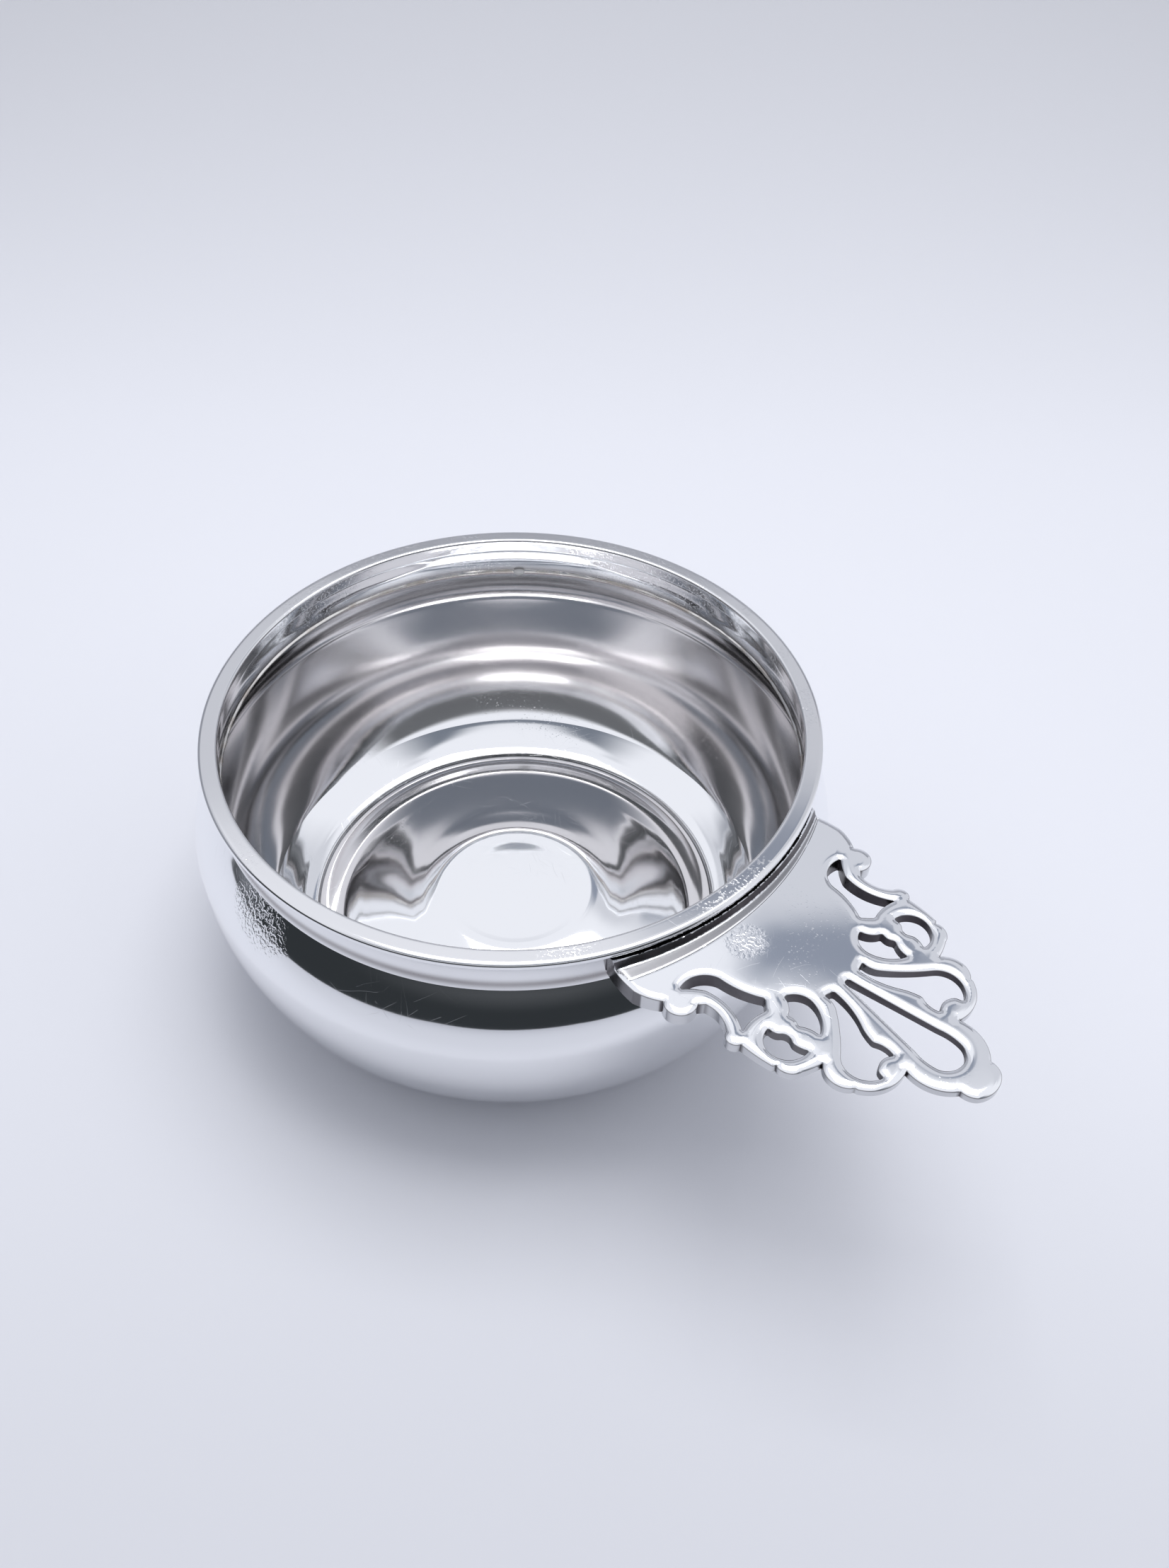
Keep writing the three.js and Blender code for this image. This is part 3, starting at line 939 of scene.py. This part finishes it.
def arc(start: Point, end: Point, bow: float, step: float) -> Line:
    """Draws an arc that bows to the left of its way.

    Args:
        start: The first point, which isn't returned.
        end: The last point.
        bow: How far the arc stands out from the straight line.
        step: The length of a step.

    Returns:
        The points after start.
    """
    start_at, end_at = np.array(start, float), np.array(end, float)
    chord = end_at - start_at
    length = float(np.linalg.norm(chord))
    if length < 1e-9:
        return [tuple(end_at)]
    if abs(bow) < 1e-9:
        steps = max(1, round(length / step))
        return [tuple(start_at + chord * k / steps) for k in range(1, steps + 1)]
    half = length / 2
    radius = (half * half + bow * bow) / (2 * bow)
    left = np.array([-chord[1], chord[0]]) / length
    centre = (start_at + end_at) / 2 + left * (bow - radius)
    sweep = 4 * math.atan(bow / half)
    steps = max(2, round(abs(radius * sweep) / step))
    spoke = start_at - centre
    points = []
    for k in range(1, steps + 1):
        turn = -sweep * k / steps
        c, s = math.cos(turn), math.sin(turn)
        points.append((centre[0] + spoke[0] * c - spoke[1] * s, centre[1] + spoke[0] * s + spoke[1] * c))
    return points


def radius_of(points: Array, shift: float = 0.0) -> Array:
    """Measures how far places are from the axis, or from a point that is shifted back across it."""
    return np.hypot(points[:, 0], points[:, 1] + shift)


def softened(loop: Array) -> Array:
    """Rounds the corners of a closed line a little, as casting and polishing do."""
    return (np.roll(loop, -1, axis=0) + loop + np.roll(loop, 1, axis=0)) / 3


class Plan:
    """The handle's plan, which measures how far a point is from its edges.

    Attributes:
        batch: How many points are measured at a time.
        sharp_turn: The turn at a point of an edge that makes it a sharp notch, in radians.
    """

    batch = 400
    sharp_turn = 0.9

    def __init__(self, loops: list[Array]) -> None:
        """Keeps the lines of the plan.

        Args:
            loops: The closed lines, the outer one first.
        """
        self.loops = loops
        self.starts = np.concatenate(loops)
        self.ends = np.concatenate([np.roll(loop, -1, axis=0) for loop in loops])

    def hollows(self, reach: int) -> Array:
        """Says how hollow each point of the edges is.

        Args:
            reach: How many points to each side are looked at.

        Returns:
            For each point of each line, 0 where the metal bulges out and 1 in a sharp notch.
        """
        found = []
        for loop in self.loops:
            there = np.roll(loop, -reach, axis=0) - loop
            back = loop - np.roll(loop, reach, axis=0)
            turn = np.arctan2(back[:, 0] * there[:, 1] - back[:, 1] * there[:, 0], (back * there).sum(axis=1))
            following = np.roll(loop, -1, axis=0)
            area = (loop[:, 0] * following[:, 1] - loop[:, 1] * following[:, 0]).sum()
            outer = 1 if loop is self.loops[0] else -1
            found.append(np.clip(-turn * np.sign(area) * outer / self.sharp_turn, 0, 1))
        return np.concatenate(found)

    def distance(self, points: Array) -> Array:
        """Measures how far points are from the edges.

        Args:
            points: Places on the plan.

        Returns:
            The way from each to the nearest edge.
        """
        nearest = np.full(len(points), np.inf)
        way = self.ends - self.starts
        square = (way**2).sum(axis=1)
        for first in range(0, len(points), self.batch):
            part = points[first : first + self.batch, None, :]
            along = ((part - self.starts) * way).sum(axis=2) / square
            foot = self.starts + np.clip(along, 0, 1)[:, :, None] * way
            nearest[first : first + self.batch] = np.sqrt(((part - foot) ** 2).sum(axis=2)).min(axis=1)
        return nearest

    def inside(self, points: Array) -> Array:
        """Finds the points that lie in the metal.

        Args:
            points: Places on the plan.

        Returns:
            Whether each lies in the metal.
        """
        crossings = np.zeros(len(points), int)
        a, b = self.starts, self.ends
        for first in range(0, len(points), self.batch):
            part = points[first : first + self.batch]
            x, y = part[:, 0:1], part[:, 1:2]
            spans = (a[:, 1] > y) != (b[:, 1] > y)
            rise = np.where(b[:, 1] == a[:, 1], 1.0, b[:, 1] - a[:, 1])
            hit = a[:, 0] + (y - a[:, 1]) * (b[:, 0] - a[:, 0]) / rise
            crossings[first : first + self.batch] = (spans & (hit > x)).sum(axis=1)
        return crossings % 2 == 1


@dataclass
class Handle:
    """The cast handle: a pierced plate with a collar against the neck, in millimetres.

    Heights on the collar are counted from the plate's top face.
    """

    mouth: Mouth
    reach: float
    tip_round: float = 1.0
    root_gap: float = 0.15
    root_depth: float = 2.95
    rise: float = 0.054
    gauge_root: float = 4.0
    gauge_tip: float = 1.9
    taper: float = 3.0
    step: float = 0.3
    edge_width: float = 1.6
    edge_drop: float = 0.36
    line_depth: float = 0.2
    back_edge_width: float = 0.6
    back_edge_drop: float = 0.3
    edge_rows: tuple[float, ...] = (0.08, 0.2, 0.36, 0.56, 0.78, 1.0)
    row_gap: float = 0.93
    grid: float = 0.95
    grid_gap: float = 1.25
    guide_gap: float = 0.1
    point_gap: float = 0.09
    bare_root: float = 2.0
    collar_rise: float = 1.5
    collar_proud: float = 0.3
    collar_flare: float = 0.6
    lip_depth: float = 1.65
    lip_slope: float = 0.62
    collar_foot_rise: float = 0.18
    band_reach: float = 2.2
    band_shift: float = 2.6
    groove_depth: float = 0.07
    groove_widths: Point = (0.11, 0.1)
    wall_power: float = 1.1
    collar_half_width: float = 24.5
    collar_end_gaps: Point = (0.02, 0.04)
    foot_rings: tuple[float, ...] = (0.75, 0.4, 0.2, 0.1, 0.0, -0.06, -0.25)
    top_rings: tuple[float, ...] = (0.12, 0.0, -0.12, -0.5)
    band_rings: tuple[float, ...] = (-0.4, -0.22, -0.1, 0.0, 0.1, 0.22, 0.4)
    end_radii: Point = (56.5, 60.5)
    crown_place: Point = (68.0, 0.0)
    crown_size: Point = (9.0, 12.0)
    crown_height: float = 0.35
    # Painted shade on the plate's outer side walls.
    outer_wall_shade: float = 0.3
    # Near-black painted shade on the walls of the openings and the collar, with tarnish in the openings.
    wall_shade_and_tarnish: float = 0.97
    # Painted dark line along the top of every edge, standing for the dark reflection at the corner.
    edge_line_shade: float = 0.85
    # Painted dark-grey reflection on the collar's band.
    band_reflection: float = 0.68
    # Painted shadow at the root and under the lip, and how far past the lip it reaches on the edges.
    root_shadow: float = 0.9
    root_shadow_reach: float = 1.5
    # Painted shade on the plate's underside.
    underside_shade: float = 0.25
    wall_soft: Point = (0.06, 0.1)
    under_lip: float = 0.4
    band_gap: float = 0.15
    crease: float = 32.0

    @classmethod
    def from_frame(cls, mouth: Mouth) -> "Handle":
        """Reads the handle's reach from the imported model."""
        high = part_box("handle")[1]
        return cls(mouth=mouth, reach=high.x / MM - mouth.axis_x)

    def outline(self, stretches: list[Stretch]) -> Line:
        """Draws a line of the plan, stretched to the handle's length.

        Args:
            stretches: The stretches of the line.

        Returns:
            The line.
        """
        lip = self.mouth.lip_radius
        drawn = HANDLE_SIDE[-1][0] + self.tip_round
        stretch = (self.reach - lip) / drawn
        points: Line = []
        for beyond, out, bow in stretches:
            end = (lip + beyond * stretch, out)
            points += arc(points[-1] if points else end, end, bow, self.step)
        return points

    def plan(self) -> Plan:
        """Draws the whole plan.

        Returns:
            The outer edge, cut to the neck, and the nine openings.
        """
        side = self.outline(HANDLE_SIDE)
        last = side[-1]
        tip = arc(last, (last[0], -last[1]), self.reach - last[0], self.step)
        far_side = [(x, -y) for x, y in side[::-1]]
        root = self.mouth.neck_radius + self.root_gap
        swing = math.asin(side[0][1] / root)
        steps = round(2 * swing * root / self.step)
        turns = [-swing + 2 * swing * k / steps for k in range(1, steps)]
        inner = [(root * math.cos(a), root * math.sin(a)) for a in turns]
        loops = [np.array(side + tip + far_side[1:] + inner)]
        for opening in (COMMA, INNER_MOON, OUTER_MOON, TAILED_BEAN, TEARDROP):
            loop = softened(np.array(self.outline(opening)[1:]))
            loops.append(loop)
            if opening is not TEARDROP:
                loops.append(loop[::-1] * (1, -1))
        return Plan(loops)

    def plate_top(self, along: Array) -> Array:
        """Gives the height of the plate's top face."""
        return self.mouth.rim_height - self.root_depth + (along - self.mouth.lip_radius) * self.rise

    def crown(self, points: Array) -> Array:
        """Gives the slight swell that hand filing left on the plate's top face."""
        way = ((points - np.array(self.crown_place)) / np.array(self.crown_size)) ** 2
        return self.crown_height * np.exp(-way.sum(axis=1) / 2)

    def plate_gauge(self, along: Array) -> Array:
        """Gives the plate's thickness."""
        share = np.minimum((self.reach - along) / (self.reach - self.mouth.lip_radius), 1.0)
        return self.gauge_tip + (self.gauge_root - self.gauge_tip) * share**self.taper

    def collar_radii(self) -> dict[str, float]:
        """Gives the radii of the collar's edges."""
        top = self.mouth.lip_radius + self.collar_proud
        return {"top": top, "foot": top + self.collar_flare, "band": top + self.band_reach}

    def collar(self, points: Array) -> Array:
        """Gives the collar's height above the plate's top face.

        Args:
            points: Places on the plan.

        Returns:
            The height at each place, 0 outside the collar.
        """
        radii = self.collar_radii()
        foot, top, edge = radii["foot"], radii["top"], radii["band"]
        r, r_band = radius_of(points), radius_of(points, self.band_shift)
        share = np.clip((edge - r_band) / (edge - foot + self.band_shift), 0, 1)
        band = self.collar_foot_rise * share - self.groove_depth * hill(r_band, edge, self.groove_widths[0])
        band += self.groove_depth * hill(r, foot, self.groove_widths[1])
        climb = np.clip((foot - r) / (foot - top), 0, 1)
        base = self.collar_foot_rise + self.groove_depth
        wall = base + (self.collar_rise - base) * climb**self.wall_power
        under_lip = np.clip(self.mouth.lip_radius - r, 0, 2) * self.lip_slope
        lip_room = self.mouth.rim_height - self.lip_depth - under_lip
        height = np.where(r < foot, wall, band)
        room = lip_room - self.plate_top(points[:, 0]) - self.crown(points)
        height = np.where(r < top, np.minimum(height, room), height)
        return np.where(np.abs(points[:, 1]) < self.collar_half_width, height, 0.0)

    def guide_lines(self) -> list[Line]:
        """Draws the collar's edges on the plan.

        Returns:
            The lines that the mesh follows.
        """
        radii = self.collar_radii()
        foot, top = radii["foot"], radii["top"]
        rings = [(0.0, foot + step) for step in self.foot_rings]
        rings += [(0.0, top + step) for step in self.top_rings]
        rings += [(self.band_shift, radii["band"] + step) for step in self.band_rings]
        before_end, past_end = self.collar_end_gaps
        limit = self.collar_half_width - before_end
        ys = np.linspace(-limit, limit, 200)
        lines = [[(math.sqrt(r**2 - (y + shift) ** 2), y) for y in ys] for shift, r in rings]
        for y in (self.collar_half_width + past_end, -self.collar_half_width - past_end):
            near, far = (math.sqrt(r**2 - y * y) for r in self.end_radii)
            lines.append([(x, y) for x in np.linspace(near, far, 14)])
        return lines

    def places(self, plan: Plan) -> tuple[Array, list[tuple[int, int]]]:
        """Spreads the mesh's points over the plan.

        Args:
            plan: The handle's plan.

        Returns:
            The points, and the edges that the mesh keeps.
        """
        points: list[Point] = []
        edges: list[tuple[int, int]] = []
        for loop in plan.loops:
            first = len(points)
            points += [tuple(p) for p in loop]
            edges += [(first + k, first + (k + 1) % len(loop)) for k in range(len(loop))]
        for line in self.guide_lines():
            placed = np.array(line)
            keep = plan.inside(placed) & (plan.distance(placed) > self.guide_gap)
            before = None
            for place, kept in zip(placed, keep):
                if kept:
                    points.append(tuple(place))
                    if before is not None:
                        edges.append((before, len(points) - 1))
                before = len(points) - 1 if kept else None
        rows = []
        for loop in plan.loops:
            way = np.roll(loop, -1, axis=0) - np.roll(loop, 1, axis=0)
            way /= np.linalg.norm(way, axis=1)[:, None]
            for sign in (1, -1):
                normal = np.stack([way[:, 1], -way[:, 0]], axis=1) * sign
                for row, depth in enumerate(self.edge_rows):
                    shifted = (loop + np.roll(loop, -1, axis=0)) / 2 if row % 2 else loop
                    place = shifted + normal * depth * self.edge_width
                    near = plan.distance(place) > self.row_gap * depth * self.edge_width
                    rows.append(place[near & plan.inside(place)])
        low, high = plan.loops[0].min(axis=0), plan.loops[0].max(axis=0)
        xs, ys = np.arange(low[0], high[0], self.grid), np.arange(low[1], high[1], self.grid)
        spread = np.stack(np.meshgrid(xs, ys), axis=-1)
        spread[1::2, :, 0] += self.grid / 2
        spread = spread.reshape(-1, 2)
        spread = spread[plan.inside(spread)]
        rows.append(spread[plan.distance(spread) > self.grid_gap * self.edge_width])
        loose = np.concatenate(rows)
        fixed = np.array(points)
        guide = fixed[sum(len(loop) for loop in plan.loops) :]
        gap = np.array([np.hypot(*(guide - p).T).min() for p in loose])
        points += [tuple(p) for p in loose[gap > self.point_gap]]
        return np.array(points), edges

    def mesh(self) -> Mesh:
        """Builds the handle's mesh.

        Returns:
            The mesh in its place.
        """
        plan = self.plan()
        points, edges = self.places(plan)
        cut = delaunay_2d_cdt([Vector(p) for p in points], edges, [], 0, 1e-5)
        flat = np.array([tuple(p) for p in cut[0]])
        triangles = np.array([t for t in cut[2] if len(t) == 3])
        middles = flat[triangles].mean(axis=1)
        triangles = triangles[plan.inside(middles)]
        used, triangles = np.unique(triangles, return_inverse=True)
        triangles = triangles.reshape(-1, 3)
        flat = flat[used]
        distance = plan.distance(flat)
        along = flat[:, 0]
        slope = np.clip(1 - distance / self.edge_width, 0, 1)
        level = self.plate_top(along)
        root = np.clip(radius_of(flat) - self.mouth.neck_radius - self.bare_root, 0, 1)
        top = level + self.collar(flat) + self.crown(flat) - self.edge_drop * slope**3 * root
        back_slope = np.clip(1 - distance / self.back_edge_width, 0, 1)
        bottom = level - self.plate_gauge(along) + self.back_edge_drop * back_slope**2
        count = len(flat)
        faces = [tuple(t) for t in triangles] + [tuple(t[::-1] + count) for t in triangles]
        sides = {}
        for a, b, c in triangles:
            for edge in ((a, b), (b, c), (c, a)):
                if edge[::-1] in sides:
                    del sides[edge[::-1]]
                else:
                    sides[edge] = True
        bordering = sorted({a for a, _ in sides})
        middle = {v: 2 * count + k for k, v in enumerate(bordering)}
        for a, b in sides:
            faces += [(a, middle[a], middle[b], b), (middle[a], a + count, b + count, middle[b])]
        below = np.column_stack([flat[bordering], top[bordering] - self.line_depth])
        vertices = np.concatenate([np.column_stack([flat, top]), np.column_stack([flat, bottom]), below])
        vertices[:, 0] += self.mouth.axis_x
        mesh = bpy.data.meshes.new("handle_cast")
        mesh.from_pydata((vertices * MM).tolist(), [], [tuple(int(i) for i in f) for f in faces])
        upper, lower = self.tarnish_and_shade(plan, flat, distance)
        shades = np.concatenate([upper, lower, lower[bordering]])
        mesh.attributes.new(TARNISH_AND_SHADE, "FLOAT", "POINT").data.foreach_set("value", shades)
        return mesh

    def tarnish_and_shade(self, plan: Plan, flat: Array, distance: Array) -> tuple[Array, Array]:
        """Says how dark each point of the handle is coloured, which is mostly painted shade and reflections.

        Args:
            plan: The handle's plan.
            flat: The points on the plan.
            distance: How far each is from the nearest edge.

        Returns:
            How far the upper points' colour is darkened, then the same for the lower points.
        """
        # Painted shade on the walls: lighter on the outer walls, near-black with tarnish in the openings.
        shares = [self.outer_wall_shade] + [self.wall_shade_and_tarnish] * (len(plan.loops) - 1)
        edges = np.concatenate([np.full(len(loop), share) for loop, share in zip(plan.loops, shares)])
        # Painted shade, darkest in the sharp notches of the plan.
        edges = np.maximum(edges, plan.hollows(3))
        # Painted shadow on the walls at the root.
        near_root = plan.starts[:, 0] < self.mouth.lip_radius + self.root_shadow_reach
        edges = np.where(near_root, self.root_shadow, edges)
        on_edge = distance < 1e-4
        side = np.zeros(len(flat))
        for k in np.flatnonzero(on_edge):
            side[k] = edges[np.hypot(*(plan.starts - flat[k]).T).argmin()]
        radii = self.collar_radii()
        foot, top = radii["foot"], radii["top"]
        r, r_band = radius_of(flat), radius_of(flat, self.band_shift)
        wall = np.clip((foot - r) / self.wall_soft[0], 0, 1) * np.clip((r - top) / self.wall_soft[1], 0, 1)
        # Painted shadow under the lip, and painted shade and dark reflection on the collar's wall.
        hollow = np.where(r < top - self.under_lip, self.root_shadow, self.wall_shade_and_tarnish * wall)
        # Painted dark reflection on the collar's band.
        band = (r > foot + self.band_gap) & (r_band < radii["band"] - self.band_gap)
        hollow = np.where(band, self.band_reflection, hollow)
        collar = hollow * (np.abs(flat[:, 1]) < self.collar_half_width)
        # Painted dark line along each top edge.
        line = np.where(on_edge, self.edge_line_shade, 0.0)
        # Painted shade on the underside and the walls.
        return np.maximum(np.maximum(side, line), collar), np.maximum(side, self.underside_shade)

    def build(self, material: Material) -> None:
        """Builds the handle and puts it in the scene.

        Args:
            material: Its finish.
        """
        mesh = self.mesh()
        mesh.materials.append(material)
        finished("pierced_handle", mesh, "handle", self.crease)


@dataclass
class RootSolder:
    """The solder between the handle's root and the neck, with a fillet under the plate."""

    mouth: Mouth

    def dress(self, material: Material) -> None:
        """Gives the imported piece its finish.

        Args:
            material: The finish.
        """
        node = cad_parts["handle_solder"]
        node.data.materials.clear()
        node.data.materials.append(material)
        log.info("%s: %d faces", node.name, len(node.data.polygons))


# The studio


@dataclass(frozen=True)
class DarkSpot:
    """A soft dark patch in the room round the table.

    Attributes:
        azimuth: Where its middle is, in degrees from the length of the porringer.
        spread: How far it reaches to each side, in degrees.
        bottom: How high its lower edge is, in degrees.
        top: How high its upper edge is, in degrees.
        soft: How wide those two edges are, in degrees.
        fade: How wide its soft ends are, in degrees.
        colour: Its colour.
    """

    azimuth: float
    spread: float
    bottom: float
    top: float
    soft: float
    fade: float
    colour: Triple

    def cover(self, wiring: Wiring, way: Socket, level: Socket) -> Socket:
        """Draws where it covers the room.

        Args:
            wiring: The room's wiring.
            way: The way looked at.
            level: The same way, laid level.

        Returns:
            How much it covers, from 0 to 1.
        """
        turn = math.radians(self.azimuth)
        facing = wiring.vector("DOT_PRODUCT", level, (math.cos(turn), math.sin(turn), 0.0))
        outer, inner = (math.cos(math.radians(self.spread + d)) for d in (self.fade / 2, -self.fade / 2))
        height = wiring.add("ShaderNodeSeparateXYZ", {0: way}).outputs["Z"]
        half = self.soft / 2
        edges = [math.sin(math.radians(e + d)) for e in (self.bottom, self.top) for d in (-half, half)]
        above = wiring.ramp(height, *edges[:2])
        below = wiring.ramp(height, *edges[2:], 1.0, 0.0)
        return wiring.math("MULTIPLY", wiring.ramp(facing, outer, inner), wiring.math("MULTIPLY", above, below))


@dataclass
class Studio:
    """The pale paper, the soft light, the room round it and the camera, in metres."""

    camera_place: Triple = (0.11471, -0.11737, 0.22505)
    camera_aim: Triple = (-0.49131, 0.48752, -0.72176)
    camera_roll: float = 2.02
    lens: float = 30.87
    sensor: float = 36.0
    paper_width: float = 0.8
    paper_front: float = 1.1
    paper_back: float = 0.2
    paper_bend: float = 0.3
    paper_height: float = 0.4
    paper_colour: Triple = (0.8, 0.81, 0.86)
    # Painted shadow on the paper: how dark it gets near the camera and far behind, and where each fall starts
    # and is full.
    paper_shade: Point = (0.86, 0.8)
    paper_shade_near: Point = (-0.14, 0.0)
    paper_shade_far: Point = (0.12, 0.6)
    sky_colour: Triple = (0.84, 0.855, 0.91)
    backdrop_colour: Triple = (0.55, 0.565, 0.62)
    sky_strength: float = 1.06
    shade_azimuth: float = -65.0
    shade_ends: Point = (-0.1, 0.25)
    shade_top: float = 33.0
    shade_soft: float = 2.0
    shade_lift: Triple = (0.15, 0.45, 0.13)
    shade_colour: Triple = (0.028, 0.032, 0.036)
    spots: tuple[DarkSpot, ...] = (
        DarkSpot(139.5, 65.0, -12.0, 46.5, 4.0, 20.0, (0.62, 0.635, 0.69)),
        DarkSpot(105.0, 21.0, 40.0, 54.0, 6.0, 6.0, (0.62, 0.635, 0.69)),
        DarkSpot(124.0, 7.5, 46.0, 52.0, 3.5, 5.0, (0.26, 0.29, 0.36)),
        DarkSpot(-40.5, 60.0, 43.0, 61.0, 3.0, 34.0, (0.175, 0.198, 0.24)),
        DarkSpot(188.0, 38.0, -5.0, 35.0, 6.0, 20.0, (0.31, 0.325, 0.37)),
    )
    lamp_place: Triple = (-0.1, 0.13, 0.85)
    lamp_size: float = 0.5
    lamp_power: float = 3.3

    def camera(self) -> None:
        """Sets the camera where the photograph was taken from."""
        data = bpy.data.cameras.new("camera")
        data.lens = self.lens
        data.sensor_width = self.sensor
        data.clip_start = 0.01
        camera = placed("camera", data)
        aim = Vector(self.camera_aim).to_track_quat("-Z", "Y")
        roll = Quaternion((0, 0, 1), math.radians(self.camera_roll))
        camera.rotation_mode = "QUATERNION"
        camera.rotation_quaternion = aim @ roll
        camera.location = self.camera_place
        bpy.context.scene.camera = camera

    def away(self) -> Vector:
        """Gives the level way from the camera to the back."""
        return Vector((self.camera_aim[0], self.camera_aim[1], 0.0)).normalized()

    def paper(self) -> None:
        """Lays the pale paper, which bends up behind the porringer."""
        line = [(-self.paper_front, 0.0), (self.paper_back, 0.0)]
        for turn in np.linspace(0, math.pi / 2, 33)[1:]:
            out, up = self.paper_bend * math.sin(turn), self.paper_bend * (1 - math.cos(turn))
            line.append((self.paper_back + out, up))
        line.append((line[-1][0], self.paper_height))
        away = self.away()
        side = Vector((away.y, -away.x, 0.0)) * self.paper_width / 2
        places = []
        for out, up in line:
            middle = away * out + Vector((0, 0, up))
            places += [middle - side, middle + side]
        faces = [(2 * k, 2 * k + 1, 2 * k + 3, 2 * k + 2) for k in range(len(line) - 1)]
        mesh = bpy.data.meshes.new("paper")
        mesh.from_pydata(places, [], faces)
        mesh.shade_smooth()
        paper = placed("paper", mesh)
        material, wiring, shader, place = surface("pale_paper", 0.0)
        # Painted shadow: the paper's colour darkens towards the camera and far behind.
        back = wiring.vector("DOT_PRODUCT", place, away)
        near = wiring.ramp(back, *self.paper_shade_near, self.paper_shade[0], 1.0)
        far = wiring.ramp(back, *self.paper_shade_far, 1.0, self.paper_shade[1])
        colour = wiring.vector("SCALE", self.paper_colour, Scale=wiring.math("MULTIPLY", near, far))
        wiring.feed(shader.inputs["Base Color"], colour)
        shader.inputs["Roughness"].default_value = 0.9
        shader.inputs["Specular IOR Level"].default_value = 0.1
        mesh.materials.append(material)

    def room(self) -> None:
        """Surrounds the table with a pale room that is dark on the camera's side."""
        world = bpy.data.worlds.new("room")
        bpy.context.scene.world = world
        world.use_nodes = True
        wiring = Wiring(world.node_tree)
        background = world.node_tree.nodes["Background"]
        way = wiring.add("ShaderNodeTexCoord").outputs["Generated"]
        height = wiring.add("ShaderNodeSeparateXYZ", {0: way}).outputs["Z"]
        level = wiring.vector("NORMALIZE", wiring.vector("MULTIPLY", way, (1.0, 1.0, 0.0)))
        turn = math.radians(self.shade_azimuth)
        facing = wiring.vector("DOT_PRODUCT", level, (math.cos(turn), math.sin(turn), 0.0))
        side = wiring.ramp(facing, *self.shade_ends)
        soft = (-self.shade_soft, self.shade_soft)
        low_top, high_top = (math.sin(math.radians(self.shade_top + d)) for d in soft)
        below = wiring.ramp(height, low_top, high_top, 1.0, 0.0)
        low_lift, high_lift, lift = self.shade_lift
        lifted = wiring.ramp(height, low_lift, high_lift, 0.0, lift)
        shade = wiring.mix(lifted, self.shade_colour, self.sky_colour)
        colour = wiring.mix(wiring.math("MULTIPLY", side, below), self.sky_colour, shade)
        for spot in self.spots:
            colour = wiring.mix(spot.cover(wiring, way, level), colour, spot.colour)
        seen = wiring.add("ShaderNodeLightPath").outputs["Is Camera Ray"]
        wiring.feed(background.inputs["Color"], wiring.mix(seen, colour, self.backdrop_colour))
        background.inputs["Strength"].default_value = self.sky_strength

    def lamp(self) -> None:
        """Hangs one soft square lamp over the table."""
        data = bpy.data.lights.new("ceiling_lamp", "AREA")
        data.size = self.lamp_size
        data.energy = self.lamp_power
        lamp = placed("ceiling_lamp", data)
        lamp.location = self.lamp_place
        lamp.rotation_mode = "QUATERNION"
        lamp.rotation_quaternion = (-Vector(self.lamp_place)).to_track_quat("-Z", "Y")

    def build(self) -> None:
        """Builds the whole studio."""
        self.camera()
        self.paper()
        self.room()
        self.lamp()
        bpy.context.scene.view_settings.view_transform = "Standard"


def main() -> None:
    """Builds every piece of the porringer, then the studio round it."""
    logging.basicConfig(level=logging.INFO, format="%(name)s: %(message)s")
    polished = SilverFinish(
        "polished_silver", (0.925, 0.932, 0.945), (0.3, 0.19, 0.16), patch_place=(-0.0228, -0.0574, 0.043)
    ).material()
    rim_metal = SilverFinish(
        "rim_silver", (0.925, 0.93, 0.945), (0.06, 0.035, 0.035), speck_depth=8e-6, specks=0.8
    ).material()
    cast = SilverFinish(
        "cast_silver",
        (0.915, 0.925, 0.945),
        (0.04, 0.032, 0.038),
        specks=0.35,
        patch_place=(0.0402, -0.0055, 0.0524),
        patch_size=0.0042,
        patch_depth=2.5e-5,
    ).material()
    solder = SolderFinish("silver_solder", (0.83, 0.81, 0.78), (0.6, 0.55, 0.5)).material()
    turning = turning_tree()
    mouth = Mouth.from_frame()
    Bowl(mouth).build(turning, polished)
    Rim(mouth).build(turning, rim_metal)
    SeamBead(mouth).build(turning, solder)
    Handle.from_frame(mouth).build(cast)
    RootSolder(mouth).dress(solder)
    Studio().build()


if __name__ == "__main__":
    main()
